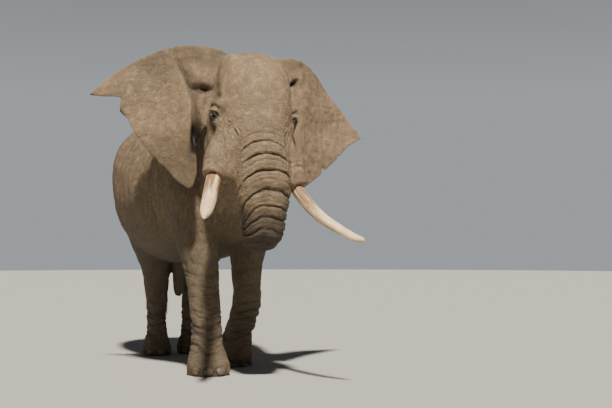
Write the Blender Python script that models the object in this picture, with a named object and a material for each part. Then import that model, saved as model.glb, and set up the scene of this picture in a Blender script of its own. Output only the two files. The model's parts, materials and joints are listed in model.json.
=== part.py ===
"""A life-size African elephant bull, mid stride, with spread ears, long tusks and its trunk curled to its mouth.

Metres, +Z up. The elephant faces -Y and its own left side is +X. The flesh is modelled whole, from tubes
and rounded masses that a voxel remesh melts together, then thinned, set flat on the ground, and parted
into named pieces by boxes that leave hairline gaps. Ears, tusks, eyes, nails, tail, sheath and tuft are
solids of their own, trimmed to the flesh they grow from. Last, everything moves so that the origin is on
the ground under the middle of the animal.
"""

import math

import bmesh
import bpy
import numpy as np
from mathutils import Euler, Matrix, Vector

# Driving dimensions.
GAP = 0.0004                     # hairline between neighbouring pieces
VOXEL = 0.024                    # cell of the remesh that melts the flesh together
BLEND_PASSES = 7                 # smoothing passes that round the joins
FLESH_TRIANGLES = 2960           # facets of the whole flesh before it is parted

EYE_POINT = Vector((-0.05, -1.90, 2.76))  # midway between the eyes
HEAD_TURN = math.radians(-4.0)            # the head turns a little to its own right
HEAD_ROLL = math.radians(3.0)             # and leans a little to its own left
EYE_RADIUS = 0.025
EYE_SIDE, EYE_FORWARD, EYE_UP = 0.456, 0.085, 0.0

EAR_ROOT_SIDE, EAR_ROOT_BACK = 0.565, 0.20  # where the blade of the ear leaves its fold
EAR_SWEEP = math.radians(40.0)              # how far the spread ear lies back from straight sideways
EAR_ROOT_THICKNESS, EAR_RIM_THICKNESS = 0.040, 0.020
EAR_ROWS, EAR_COLUMNS = 12, 11
KNEE, ANKLE = 0.80, 0.27         # heights of the cuts through a straight leg

SKIN = ("skin", (0.30, 0.25, 0.20), 0.9)
IVORY = ("ivory", (0.78, 0.68, 0.52), 0.45)
NAIL = ("nail", (0.42, 0.37, 0.31), 0.6)
EYEBALL = ("eye", (0.05, 0.03, 0.02), 0.1)
HAIR = ("hair", (0.03, 0.025, 0.02), 0.6)

HEAD = (
    Matrix.Translation(EYE_POINT)
    @ Matrix.Rotation(HEAD_TURN, 4, "Z")
    @ Matrix.Rotation(HEAD_ROLL, 4, "Y")
)
WHOLE = Matrix.Identity(4)


def clear_scene():
    for obj in list(bpy.data.objects):
        bpy.data.objects.remove(obj, do_unlink=True)


def finish_of(kind):
    """The material of one kind of surface, made once."""
    name, colour, roughness = kind
    found = bpy.data.materials.get(name)
    if found:
        return found
    material = bpy.data.materials.new(name)
    material.use_nodes = True
    shader = material.node_tree.nodes["Principled BSDF"]
    shader.inputs["Base Color"].default_value = (*colour, 1.0)
    shader.inputs["Roughness"].default_value = roughness
    shader.inputs["Metallic"].default_value = 0.0
    return material


def object_from(bm, name, kind=SKIN):
    mesh = bpy.data.meshes.new(name)
    bmesh.ops.recalc_face_normals(bm, faces=bm.faces)
    bmesh.ops.triangulate(bm, faces=bm.faces)
    bm.to_mesh(mesh)
    bm.free()
    obj = bpy.data.objects.new(name, mesh)
    bpy.context.scene.collection.objects.link(obj)
    mesh.materials.append(finish_of(kind))
    return obj


def copy_of(obj, name):
    twin = bpy.data.objects.new(name, obj.data.copy())
    bpy.context.scene.collection.objects.link(twin)
    return twin


def apply_modifiers(obj):
    bpy.context.view_layer.update()
    graph = bpy.context.evaluated_depsgraph_get()
    mesh = bpy.data.meshes.new_from_object(obj.evaluated_get(graph))
    obj.modifiers.clear()
    obj.data = mesh


def boolean(obj, cutter, operation):
    """Joins, cuts or keeps what two solids share, and applies it. The cutter stays."""
    step = obj.modifiers.new("cut", "BOOLEAN")
    step.operation = operation
    step.solver = "EXACT"
    step.object = cutter
    apply_modifiers(obj)


def keep_largest(obj):
    """Drops every loose shell but the one with most vertices."""
    bm = bmesh.new()
    bm.from_mesh(obj.data)
    unseen, shells = set(bm.verts), []
    while unseen:
        shell, edge_of = set(), [unseen.pop()]
        while edge_of:
            vert = edge_of.pop()
            shell.add(vert)
            for near in (e.other_vert(vert) for e in vert.link_edges):
                if near in unseen:
                    unseen.discard(near)
                    edge_of.append(near)
        shells.append(shell)
    shells.sort(key=len)
    for shell in shells[:-1]:
        bmesh.ops.delete(bm, geom=list(shell), context="VERTS")
    bm.to_mesh(obj.data)
    bm.free()


def grown(obj, by, name="grown"):
    """A copy whose surface stands this far outside the solid's."""
    twin = copy_of(obj, name)
    swell = twin.modifiers.new("swell", "DISPLACE")
    swell.strength = by
    swell.mid_level = 0.0
    apply_modifiers(twin)
    return twin


def smooth_rows(rows, steps):
    """Rows of numbers with `steps` more from each to the next, on a Catmull-Rom curve."""
    rows = [np.array(row, float) for row in rows]
    ends = [2 * rows[0] - rows[1]] + rows + [2 * rows[-1] - rows[-2]]
    found = []
    for before, start, end, after in zip(ends, ends[1:], ends[2:], ends[3:]):
        for t in np.arange(steps) / steps:
            found.append(
                0.5
                * (
                    2 * start
                    + (end - before) * t
                    + (2 * before - 5 * start + 4 * end - after) * t**2
                    + (3 * start - before - 3 * end + after) * t**3
                )
            )
    return found + [rows[-1]]


def even_points(points, count):
    """`count` points at equal lengths along the smooth curve through the given ones."""
    curve = np.array(smooth_rows(points, 12))
    lengths = np.concatenate([[0], np.cumsum(np.linalg.norm(np.diff(curve, axis=0), axis=1))])
    at = np.linspace(0, lengths[-1], count)
    return np.stack([np.interp(at, lengths, column) for column in curve.T], axis=1)


def power(value, exponent):
    return math.copysign(abs(value) ** exponent, value)


def tube(bm, stations, place=WHOLE, steps=3, sides=20, square=2.0):
    """A closed tube through stations (x, y, z, half width, half depth on its near side, and on its far side).

    The width runs along X, and the near side is where X crossed with the tube's direction points.
    """
    rows = smooth_rows(stations, steps)
    loops = []
    for i, row in enumerate(rows):
        ahead = rows[min(i + 1, len(rows) - 1)][:3]
        behind = rows[max(i - 1, 0)][:3]
        along = Vector(ahead - behind).normalized()
        near = Vector((1, 0, 0)).cross(along).normalized()
        side = along.cross(near).normalized()
        ring = bmesh.ops.create_circle(bm, segments=sides, radius=1.0)["verts"]
        for vert in ring:
            across, deep = power(vert.co.x, 2 / square), power(vert.co.y, 2 / square)
            depth = row[4] if deep > 0 else row[5]
            vert.co = place @ (Vector(row[:3]) + side * across * row[3] + near * deep * depth)
        loops.append(list({edge for vert in ring for edge in vert.link_edges}))
    for first, second in zip(loops, loops[1:]):
        bmesh.ops.bridge_loops(bm, edges=first + second)
    for loop in (loops[0], loops[-1]):
        bmesh.ops.contextual_create(bm, geom=loop)


def mass(bm, centre, radii, place=WHOLE, tilt=(0, 0, 0), rounds=16):
    """A rounded mass: an ellipsoid of these half sizes, turned by tilt in degrees."""
    turn = Euler([math.radians(a) for a in tilt]).to_matrix().to_4x4()
    form = place @ Matrix.Translation(centre) @ turn @ Matrix.Diagonal((*radii, 1.0))
    bmesh.ops.create_uvsphere(bm, u_segments=rounds * 3 // 2, v_segments=rounds, radius=1.0, matrix=form)


def mirrored(stations):
    return [(-row[0], *row[1:]) for row in stations]


def box(name, low, high, place=WHOLE, pivot=None, tilt=(0, 0, 0), grow=0.0):
    """A box between two corners, turned by tilt in degrees about its pivot, for cutting."""
    low, high = Vector(low), Vector(high)
    centre, size = (low + high) / 2, high - low + Vector((2 * grow,) * 3)
    pivot = Vector(pivot) if pivot else centre
    turn = Euler([math.radians(a) for a in tilt]).to_matrix().to_4x4()
    turned = Matrix.Translation(pivot) @ turn @ Matrix.Translation(centre - pivot)
    bm = bmesh.new()
    bmesh.ops.create_cube(bm, size=1.0, matrix=place @ turned @ Matrix.Diagonal((*size, 1.0)))
    cutter = object_from(bm, name)
    cutter.hide_render = True
    return cutter


def part_off(rest, name, **corners):
    """Takes what lies in a box off the rest, as a piece of its own a hairline away."""
    piece = copy_of(rest, name)
    inside = box("inside", **corners)
    boolean(piece, inside, "INTERSECT")
    keep_largest(piece)
    outside = box("outside", grow=GAP, **corners)
    boolean(rest, outside, "DIFFERENCE")
    for cutter in (inside, outside):
        bpy.data.objects.remove(cutter, do_unlink=True)
    return piece


# The barrel, from the chest to the rump: y, height of the widest part, half width, rise to the back,
# drop to the belly.
BARREL = [
    (-1.24, 2.22, 0.24, 0.32, 0.40),
    (-1.07, 2.23, 0.46, 0.68, 0.64),
    (-0.78, 2.22, 0.65, 0.95, 0.78),
    (-0.34, 2.16, 0.79, 0.95, 0.84),
    (0.12, 2.10, 0.89, 0.93, 0.89),
    (0.58, 2.18, 0.93, 0.88, 1.04),
    (1.00, 2.30, 0.91, 0.80, 1.09),
    (1.34, 2.32, 0.80, 0.64, 0.90),
    (1.60, 2.26, 0.55, 0.43, 0.56),
    (1.74, 2.22, 0.22, 0.17, 0.23),
]

# The neck runs forwards, so its near half depth is underneath.
NECK = [
    (0.0, -0.45, 2.42, 0.40, 0.40, 0.40),
    (0.0, -0.80, 2.50, 0.50, 0.78, 0.62),
    (-0.01, -1.15, 2.57, 0.46, 0.72, 0.56),
    (-0.03, -1.45, 2.66, 0.42, 0.60, 0.52),
    (-0.05, -1.75, 2.74, 0.38, 0.46, 0.46),
]

# Legs from the sole up: x, y, z, half width, half depth forwards, half depth backwards.
FORELEG_RIGHT = [
    (-0.30, -1.15, -0.030, 0.222, 0.245, 0.228),
    (-0.30, -1.15, 0.080, 0.240, 0.268, 0.240),
    (-0.30, -1.14, 0.190, 0.218, 0.232, 0.222),
    (-0.30, -1.12, 0.340, 0.180, 0.180, 0.190),
    (-0.30, -1.09, 0.600, 0.176, 0.182, 0.180),
    (-0.305, -1.03, 0.850, 0.176, 0.182, 0.182),
    (-0.315, -0.96, 1.150, 0.192, 0.200, 0.215),
    (-0.35, -0.89, 1.450, 0.218, 0.250, 0.290),
    (-0.41, -0.83, 1.800, 0.235, 0.330, 0.360),
    (-0.44, -0.80, 2.250, 0.230, 0.370, 0.380),
    (-0.36, -0.76, 2.750, 0.170, 0.280, 0.300),
]

# The left foot is just leaving the ground: it still stands on the edge of its toe.
FORELEG_LEFT = [
    (0.255, -0.345, 0.082, 0.195, 0.235, 0.215),
    (0.255, -0.385, 0.164, 0.216, 0.252, 0.226),
    (0.265, -0.440, 0.272, 0.195, 0.200, 0.200),
    (0.275, -0.520, 0.418, 0.165, 0.162, 0.175),
    (0.285, -0.630, 0.585, 0.165, 0.168, 0.170),
    (0.295, -0.715, 0.715, 0.172, 0.182, 0.165),
    (0.300, -0.725, 0.900, 0.164, 0.175, 0.172),
    (0.312, -0.680, 1.150, 0.180, 0.195, 0.215),
    (0.350, -0.640, 1.450, 0.216, 0.245, 0.290),
    (0.410, -0.680, 1.800, 0.235, 0.330, 0.360),
    (0.440, -0.760, 2.250, 0.230, 0.370, 0.380),
    (0.360, -0.760, 2.750, 0.170, 0.280, 0.300),
]

HINDLEG_RIGHT = [
    (-0.27, 1.20, -0.030, 0.172, 0.205, 0.182),
    (-0.27, 1.20, 0.075, 0.186, 0.225, 0.195),
    (-0.27, 1.21, 0.190, 0.158, 0.182, 0.182),
    (-0.265, 1.23, 0.350, 0.130, 0.148, 0.162),
    (-0.265, 1.25, 0.600, 0.130, 0.148, 0.168),
    (-0.275, 1.21, 0.850, 0.152, 0.170, 0.195),
    (-0.31, 1.12, 1.150, 0.195, 0.235, 0.270),
    (-0.38, 1.06, 1.450, 0.245, 0.350, 0.380),
    (-0.46, 1.05, 1.850, 0.290, 0.430, 0.450),
    (-0.48, 1.04, 2.300, 0.290, 0.430, 0.430),
    (-0.36, 1.04, 2.750, 0.210, 0.310, 0.310),
]
HIND_STEP = 0.06                 # the left hind foot stands this much further back
HINDLEG_LEFT = [
    (-x - 0.07 * max(0.0, 1 - z / 1.8), y + HIND_STEP * max(0.0, 1 - z / 1.8), z, *halves)
    for x, y, z, *halves in HINDLEG_RIGHT
]

SHEATH = [
    (-0.02, 0.84, 1.32, 0.14, 0.22, 0.22),
    (-0.02, 0.98, 1.13, 0.105, 0.14, 0.14),
    (-0.02, 1.05, 0.95, 0.080, 0.095, 0.095),
    (-0.02, 1.07, 0.80, 0.055, 0.060, 0.060),
    (-0.02, 1.075, 0.762, 0.030, 0.034, 0.034),
]

TAIL = [
    (0.0, 1.52, 2.60, 0.130, 0.11, 0.15),
    (0.0, 1.70, 2.50, 0.090, 0.085, 0.095),
    (0.0, 1.84, 2.22, 0.062, 0.062, 0.064),
    (0.0, 1.90, 1.80, 0.047, 0.047, 0.047),
    (0.005, 1.89, 1.38, 0.037, 0.037, 0.037),
    (0.01, 1.87, 1.04, 0.030, 0.030, 0.030),
    (0.01, 1.86, 0.93, 0.024, 0.024, 0.024),
]
TUFT = [
    (0.01, 1.865, 1.03, 0.036, 0.062, 0.062),
    (0.01, 1.86, 0.88, 0.034, 0.085, 0.085),
    (0.01, 1.855, 0.68, 0.028, 0.072, 0.072),
    (0.01, 1.85, 0.52, 0.016, 0.034, 0.034),
    (0.01, 1.85, 0.44, 0.006, 0.010, 0.010),
]

# In the head's own measure, from the middle of the eye line: side, -forward, up, half width, and half
# depths. The skull is a tube upwards, so its near half depth is in front; the others run downwards.
SKULL = [
    (0.0, 0.12, -0.52, 0.26, 0.20, 0.26),
    (0.0, 0.10, -0.34, 0.40, 0.38, 0.42),
    (0.0, 0.07, -0.14, 0.440, 0.47, 0.52),
    (0.0, 0.06, 0.04, 0.440, 0.51, 0.60),
    (0.0, 0.06, 0.22, 0.405, 0.50, 0.63),
    (0.0, 0.08, 0.40, 0.395, 0.45, 0.58),
    (0.0, 0.11, 0.56, 0.345, 0.35, 0.44),
    (0.0, 0.13, 0.655, 0.23, 0.21, 0.27),
    (0.0, 0.14, 0.690, 0.10, 0.09, 0.12),
]
TRUNK = [
    (0.000, -0.09, 0.42, 0.20, 0.20, 0.24),
    (0.000, -0.14, 0.20, 0.26, 0.20, 0.275),
    (0.003, -0.19, 0.02, 0.30, 0.22, 0.28),
    (0.008, -0.24, -0.14, 0.315, 0.24, 0.275),
    (0.015, -0.31, -0.34, 0.295, 0.24, 0.27),
    (0.025, -0.385, -0.58, 0.270, 0.21, 0.235),
    (0.035, -0.43, -0.80, 0.240, 0.175, 0.200),
    (0.042, -0.435, -1.00, 0.203, 0.145, 0.172),
    (0.048, -0.405, -1.135, 0.182, 0.125, 0.155),
    (0.052, -0.325, -1.215, 0.166, 0.108, 0.143),
    (0.052, -0.225, -1.225, 0.150, 0.100, 0.132),
    (0.048, -0.145, -1.165, 0.134, 0.095, 0.120),
    (0.040, -0.100, -1.07, 0.118, 0.090, 0.106),
    (0.032, -0.090, -0.96, 0.102, 0.083, 0.094),
    (0.024, -0.105, -0.86, 0.092, 0.074, 0.082),
    (0.020, -0.125, -0.80, 0.080, 0.058, 0.062),
]
SHEATH_TOP = (0.20, 0.0, 0.02)               # the tusk sheaths start beside the nose
SHEATH_HALVES = [0.17, 0.180, 0.170, 0.145, 0.116]
JAW = [
    (0.0, 0.34, -0.24, 0.28, 0.18, 0.20),
    (0.0, 0.16, -0.44, 0.25, 0.16, 0.19),
    (0.0, 0.02, -0.57, 0.17, 0.09, 0.11),
    (0.0, -0.06, -0.635, 0.100, 0.055, 0.065),
    (0.0, -0.11, -0.655, 0.050, 0.032, 0.038),
]
# The tusks differ a little, as they do on a living bull: side, -forward, up, radius.
TUSK_RIGHT = [
    (-0.445, -0.340, -0.590, 0.076),
    (-0.472, -0.400, -0.677, 0.077),
    (-0.520, -0.540, -0.790, 0.078),
    (-0.575, -0.720, -0.892, 0.076),
    (-0.631, -0.900, -0.981, 0.070),
    (-0.687, -1.090, -1.059, 0.061),
    (-0.730, -1.235, -1.097, 0.048),
    (-0.738, -1.262, -1.101, 0.032),
]
TUSK_LEFT = [
    (0.400, -0.340, -0.665, 0.064),
    (0.434, -0.400, -0.753, 0.065),
    (0.505, -0.560, -0.890, 0.063),
    (0.580, -0.770, -1.020, 0.058),
    (0.675, -0.980, -1.118, 0.052),
    (0.784, -1.150, -1.202, 0.043),
    (0.848, -1.245, -1.226, 0.034),
    (0.862, -1.266, -1.230, 0.023),
]

# The blade of each ear in its own plane: outwards from the fold at its root, and up from the eye line.
# Four edges each: the top from the head to the tip, the rim from the tip to the lobe, the inner edge from
# the head down to the lobe, and the foot of the lobe. Then the corners of the wedges torn out of the rim.
EAR_RIGHT = {
    "top": [
        (-0.36, 0.66), (-0.20, 0.725), (0.0, 0.775), (0.21, 0.79), (0.41, 0.775),
        (0.61, 0.712), (0.82, 0.628), (1.03, 0.505), (1.33, 0.245),
    ],
    "rim": [
        (1.33, 0.245), (1.10, 0.15), (0.895, 0.02), (0.80, -0.12), (0.69, -0.26),
        (0.552, -0.411), (0.40, -0.545), (0.22, -0.68),
    ],
    "inner": [
        (-0.36, 0.66), (-0.27, 0.45), (-0.21, 0.25), (-0.16, 0.06), (-0.10, -0.10),
        (-0.04, -0.25), (0.005, -0.41), (0.03, -0.575), (0.085, -0.69),
    ],
    "foot": [(0.085, -0.69), (0.145, -0.72), (0.22, -0.68)],
    "torn": [((0.945, 0.222), (1.46, 0.232), (0.965, 0.0))],
}
EAR_LEFT = {
    "top": [
        (-0.34, 0.66), (-0.18, 0.725), (0.02, 0.73), (0.24, 0.70), (0.42, 0.64),
        (0.70, 0.475), (0.98, 0.285), (1.20, 0.135), (1.40, 0.02),
    ],
    "rim": [
        (1.40, 0.02), (1.22, -0.06), (1.067, -0.165), (0.925, -0.29), (0.80, -0.385),
        (0.63, -0.50), (0.478, -0.575), (0.20, -0.70),
    ],
    "inner": [
        (-0.34, 0.66), (-0.27, 0.45), (-0.21, 0.25), (-0.16, 0.06), (-0.10, -0.10),
        (-0.04, -0.26), (0.005, -0.43), (0.03, -0.60), (0.08, -0.70),
    ],
    "foot": [(0.08, -0.70), (0.14, -0.73), (0.20, -0.70)],
    "torn": [
        ((0.70, -0.355), (0.655, -0.56), (0.765, -0.54)),
        ((0.955, -0.21), (0.93, -0.40), (1.02, -0.34)),
    ],
}


def sheath_of(exit_point):
    """Stations of a tusk's sheath, from beside the nose to where the tusk comes out."""
    start, end = np.array(SHEATH_TOP), np.array(exit_point)
    steps = np.linspace(0, 1, len(SHEATH_HALVES))
    return [(*((1 - t) * start + t * end), half, half * 0.95, half) for t, half in zip(steps, SHEATH_HALVES)]


def whole_flesh():
    """Every fleshy form but the ears, tail and sheath, melted into one closed skin."""
    bm = bmesh.new()
    barrel = [(0.0, y, z, half, up, down) for y, z, half, up, down in BARREL]
    tube(bm, barrel, sides=32, square=2.1)
    tube(bm, NECK, sides=28)
    for leg in (FORELEG_RIGHT, FORELEG_LEFT, HINDLEG_RIGHT, HINDLEG_LEFT):
        tube(bm, leg, sides=24, square=2.15)
    tube(bm, SKULL, HEAD, sides=28, square=2.25)
    tube(bm, TRUNK, HEAD, sides=24)
    tube(bm, JAW, HEAD, sides=20)
    x, y, z, _ = TUSK_LEFT[1]
    tube(bm, sheath_of((x, y + 0.03, z + 0.045)), HEAD, sides=20)
    x, y, z, _ = TUSK_RIGHT[1]
    tube(bm, mirrored(sheath_of((-x, y + 0.03, z + 0.045))), HEAD, sides=20)
    for side in (-1, 1):
        mass(bm, (side * 0.335, 0.00, -0.10), (0.132, 0.28, 0.36), HEAD)
        mass(bm, (side * 0.370, -0.05, 0.04), (0.095, 0.17, 0.11), HEAD)
        mass(bm, (side * 0.275, -0.25, -0.36), (0.16, 0.16, 0.24), HEAD)
        mass(bm, (side * 0.330, 0.18, -0.30), (0.125, 0.22, 0.26), HEAD)
        mass(bm, (side * 0.375, 0.24, 0.26), (0.075, 0.17, 0.28), HEAD)
        mass(bm, (side * 0.36, -0.68, 2.50), (0.24, 0.38, 0.44))
    # The swollen lip between the trunk and each tusk, fuller on the right.
    mass(bm, (-0.325, -0.32, -0.56), (0.115, 0.12, 0.17), HEAD)
    mass(bm, (0.315, -0.31, -0.54), (0.10, 0.11, 0.15), HEAD)
    flesh = object_from(bm, "flesh")
    melt = flesh.modifiers.new("melt", "REMESH")
    melt.mode = "VOXEL"
    melt.voxel_size = VOXEL
    blend = flesh.modifiers.new("blend", "SMOOTH")
    blend.factor = 0.5
    blend.iterations = BLEND_PASSES
    apply_modifiers(flesh)
    return flesh


def thin_out(flesh):
    """Fewer facets, with more of them left on the head and feet than on the barrel."""
    dense = flesh.vertex_groups.new(name="dense")
    for vert in flesh.data.vertices:
        x, y, z = vert.co
        head = min(1.0, max(0.0, (-1.15 - y) / 0.3)) if z > 1.2 else 0.0
        foot = min(1.0, max(0.0, (0.40 - z) / 0.2))
        dense.add([vert.index], 0.9 * max(head, 0.6 * foot), "REPLACE")
    thin = flesh.modifiers.new("thin", "DECIMATE")
    thin.vertex_group = "dense"
    thin.invert_vertex_group = True
    thin.vertex_group_factor = 0.0001
    thin.ratio = FLESH_TRIANGLES / (2 * len(flesh.data.polygons))
    thin.use_collapse_triangulate = True
    apply_modifiers(flesh)
    flesh.vertex_groups.clear()


def set_flat(obj):
    """Cuts off whatever would be under the ground."""
    ground = box("ground", (-3, -4, -1), (3, 4, 0))
    boolean(obj, ground, "DIFFERENCE")
    bpy.data.objects.remove(ground, do_unlink=True)


def trimmed(obj, flesh_cut):
    """The part of a solid that stands out of the flesh."""
    boolean(obj, flesh_cut, "DIFFERENCE")
    keep_largest(obj)
    return obj


def ear_point(side, out, up, ahead):
    """A point of the ear's blade: it leaves the head sideways, then sweeps back, hollow on its front."""
    steps = np.linspace(min(out, 0.0), max(out, 0.0), 24)
    turn = np.clip((steps + 0.25) / 0.45, 0.0, 1.0)
    sweeps = EAR_SWEEP * turn * turn * (3 - 2 * turn)
    sign = 1.0 if out > 0 else -1.0
    length = abs(out) / (len(steps) - 1)
    across = EAR_ROOT_SIDE + sign * length * float(np.cos(sweeps).sum() - np.cos(sweeps[0]))
    back = EAR_ROOT_BACK + sign * length * float(np.sin(sweeps).sum() - np.sin(sweeps[0]))
    sweep = float(sweeps[-1] if out > 0 else sweeps[0])
    dish = 0.075 * math.sin(math.pi * min(1.0, max(0.0, out / 1.25)))
    lean = 0.10 * max(0.0, up - 0.35) - 0.05 * min(0.0, up + 0.2)
    ahead -= dish + lean
    across += math.sin(sweep) * ahead
    back -= math.cos(sweep) * ahead
    return HEAD @ Vector((side * across, back, up))


def ear(name, side, edges):
    """One ear: a blade filled in between its four edges, thick at the root and thin at the rim."""
    top = even_points(edges["top"], EAR_COLUMNS)
    foot = even_points(edges["foot"], EAR_COLUMNS)
    inner = even_points(edges["inner"], EAR_ROWS)
    rim = even_points(edges["rim"], EAR_ROWS)
    bm = bmesh.new()
    sheets = ([], [])
    for i in range(EAR_ROWS):
        down = i / (EAR_ROWS - 1)
        for j in range(EAR_COLUMNS):
            out = j / (EAR_COLUMNS - 1)
            point = (1 - down) * top[j] + down * foot[j] + (1 - out) * inner[i] + out * rim[i]
            point -= (1 - out) * ((1 - down) * top[0] + down * foot[0])
            point -= out * ((1 - down) * top[-1] + down * foot[-1])
            thick = EAR_RIM_THICKNESS + (EAR_ROOT_THICKNESS - EAR_RIM_THICKNESS) * (1 - out) ** 1.5
            for sheet, ahead in zip(sheets, (thick / 2, -thick / 2)):
                sheet.append(bm.verts.new(ear_point(side, point[0], point[1], ahead)))
    last_row, last_column = EAR_ROWS - 1, EAR_COLUMNS - 1
    for sheet in sheets:
        for i in range(last_row):
            for j in range(last_column):
                a = i * EAR_COLUMNS + j
                bm.faces.new([sheet[a], sheet[a + 1], sheet[a + EAR_COLUMNS + 1], sheet[a + EAR_COLUMNS]])
    around = [(0, j) for j in range(last_column)]
    around += [(i, last_column) for i in range(last_row)]
    around += [(last_row, j) for j in range(last_column, 0, -1)]
    around += [(i, 0) for i in range(last_row, 0, -1)]
    front, back = ([sheet[i * EAR_COLUMNS + j] for i, j in around] for sheet in sheets)
    for k in range(len(around)):
        n = (k + 1) % len(around)
        bm.faces.new([front[k], front[n], back[n], back[k]])
    blade = object_from(bm, name)
    for corners in edges["torn"]:
        wedge = bmesh.new()
        near = [wedge.verts.new(ear_point(side, *corner, 0.14)) for corner in corners]
        far = [wedge.verts.new(ear_point(side, *corner, -0.14)) for corner in corners]
        wedge.faces.new(near)
        wedge.faces.new(far)
        for k in range(3):
            n = (k + 1) % 3
            wedge.faces.new([near[k], near[n], far[n], far[k]])
        cutter = object_from(wedge, "tear")
        boolean(blade, cutter, "DIFFERENCE")
        bpy.data.objects.remove(cutter, do_unlink=True)
        keep_largest(blade)
    return blade


def tusk(name, stations):
    bm = bmesh.new()
    tube(bm, [(x, y, z, half, half, half) for x, y, z, half in stations], HEAD, steps=2, sides=11)
    return object_from(bm, name, IVORY)


def eye(name, side):
    bm = bmesh.new()
    mass(bm, (side * EYE_SIDE, -EYE_FORWARD, EYE_UP), (EYE_RADIUS,) * 3, HEAD, rounds=8)
    return object_from(bm, name, EYEBALL)


def socket(flesh, solid):
    """Hollows the flesh out round a solid that is set into it."""
    cutter = grown(solid, GAP)
    boolean(flesh, cutter, "DIFFERENCE")
    bpy.data.objects.remove(cutter, do_unlink=True)


def nails(foot, place, count, spread, reach, side, half_width, height, flesh_cut):
    """A row of toenails round the front of a foot, in the measure of its own sole."""
    made = []
    for k in range(count):
        angle = spread * (k / (count - 1) - 0.5) * 2 if count > 1 else 0.0
        at = Vector((math.sin(angle) * side, -math.cos(angle) * reach, height))
        bm = bmesh.new()
        size = half_width * (1.0 if abs(angle) < spread * 0.6 else 0.85)
        turn = Matrix.Rotation(angle, 4, "Z")
        mass(bm, (0, 0, 0), (size, 0.030, 0.048), place @ Matrix.Translation(at) @ turn, (-14, 0, 0), rounds=4)
        nail = object_from(bm, f"nail_{foot}_{k + 1}", NAIL)
        set_above(nail)
        made.append(trimmed(nail, flesh_cut))
    return made


def set_above(obj):
    """Keeps a nail clear of the ground."""
    ground = box("ground", (-3, -4, -1), (3, 4, 0.004))
    boolean(obj, ground, "DIFFERENCE")
    bpy.data.objects.remove(ground, do_unlink=True)


def build():
    clear_scene()
    rest = whole_flesh()
    thin_out(rest)
    set_flat(rest)
    tusks = [tusk("tusk_right", TUSK_RIGHT), tusk("tusk_left", TUSK_LEFT)]
    eyes = [eye("eye_right", -1), eye("eye_left", 1)]
    for solid in tusks + eyes:
        socket(rest, solid)
    keep_largest(rest)
    cut = grown(rest, GAP, "flesh_cut")
    cut.hide_render = True
    for name, side, edges in (("ear_right", -1, EAR_RIGHT), ("ear_left", 1, EAR_LEFT)):
        trimmed(ear(name, side, edges), cut)
    for name, stations in (("tail", TAIL), ("sheath", SHEATH)):
        bm = bmesh.new()
        tube(bm, stations, steps=2, sides=9)
        trimmed(object_from(bm, name), cut)
    bm = bmesh.new()
    tube(bm, TUFT, steps=1, sides=8)
    tuft = object_from(bm, "tail_tuft", HAIR)
    tail_cut = grown(bpy.data.objects["tail"], GAP)
    boolean(tuft, tail_cut, "DIFFERENCE")
    bpy.data.objects.remove(tail_cut, do_unlink=True)
    fore = Matrix.Translation((-0.30, -1.15, 0.0))
    bent = Matrix.Translation((0.255, -0.345, 0.082)) @ Matrix.Rotation(math.radians(32), 4, "X")
    nails("foreleg_right", fore, 4, math.radians(52), 0.262, 0.225, 0.062, 0.062, cut)
    nails("foreleg_left", bent, 4, math.radians(52), 0.255, 0.205, 0.060, 0.055, cut)
    for name, leg in (("hindleg_right", HINDLEG_RIGHT), ("hindleg_left", HINDLEG_LEFT)):
        place = Matrix.Translation((leg[1][0], leg[1][1], 0.0))
        nails(name, place, 3, math.radians(42), 0.218, 0.185, 0.054, 0.058, cut)
    bpy.data.objects.remove(cut, do_unlink=True)

    part_flesh(rest)
    return settle()


def part_flesh(rest):
    """Parts the whole flesh into named pieces, outermost first. What is left is the torso."""
    part_off(rest, "trunk_middle", low=(-0.35, -0.80, -1.60), high=(0.35, 0.20, -1.04), place=HEAD)
    part_off(rest, "trunk_tip", low=(-0.20, -0.238, -1.06), high=(0.20, 0.10, -0.735), place=HEAD)
    part_off(rest, "trunk_upper", low=(-0.34, -0.85, -1.06), high=(0.34, -0.16, -0.735), place=HEAD)
    part_off(
        rest, "lower_jaw", low=(-0.21, -0.22, -0.90), high=(0.21, 0.12, -0.555), place=HEAD,
        pivot=(0, -0.05, -0.56), tilt=(-28, 0, 0),
    )
    for name, side, front, back, top in (
        ("foreleg_right", -1, -1.34, -0.52, 1.40),
        ("foreleg_left", 1, -1.06, -0.30, 1.40),
        ("hindleg_right", -1, 0.72, 1.75, 1.36),
        ("hindleg_left", 1, 0.72, 1.75, 1.36),
    ):
        inner, outer = sorted((side * 0.002, side * 0.95))
        if name == "foreleg_left":
            part_off(
                rest, name + "_foot", low=(0.0, -0.90, -0.40), high=(0.60, 0.20, 0.30),
                pivot=(0.27, -0.46, 0.30), tilt=(29, 0, 0),
            )
        else:
            part_off(rest, name + "_foot", low=(inner, front - 0.3, -0.2), high=(outer, back, ANKLE))
        part_off(rest, name + "_lower", low=(inner, front - 0.3, -0.2), high=(outer, back + 0.3, KNEE))
        part_off(rest, name + "_upper", low=(inner, front, -0.2), high=(outer, back, top))
    part_off(
        rest, "head", low=(-1.5, -3.2, 1.5), high=(1.5, -1.42, 4.2),
        pivot=(0, -1.42, 2.60), tilt=(-15, 0, 0),
    )
    part_off(
        rest, "neck", low=(-1.5, -2.4, 1.55), high=(1.5, -1.06, 4.2),
        pivot=(0, -1.06, 2.50), tilt=(-15, 0, 0),
    )
    rest.name = "torso"


def settle():
    """Puts the origin on the ground under the middle of the whole animal."""
    solids = [obj for obj in bpy.context.scene.objects if not obj.hide_render]
    corners = np.array([vert.co for obj in solids for vert in obj.data.vertices])
    low, high = corners.min(axis=0), corners.max(axis=0)
    move = Matrix.Translation((-(low[0] + high[0]) / 2, -(low[1] + high[1]) / 2, -low[2]))
    for obj in solids:
        obj.data.transform(move)
    return move.to_translation()


if __name__ == "__main__":
    SHIFT = build()
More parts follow.
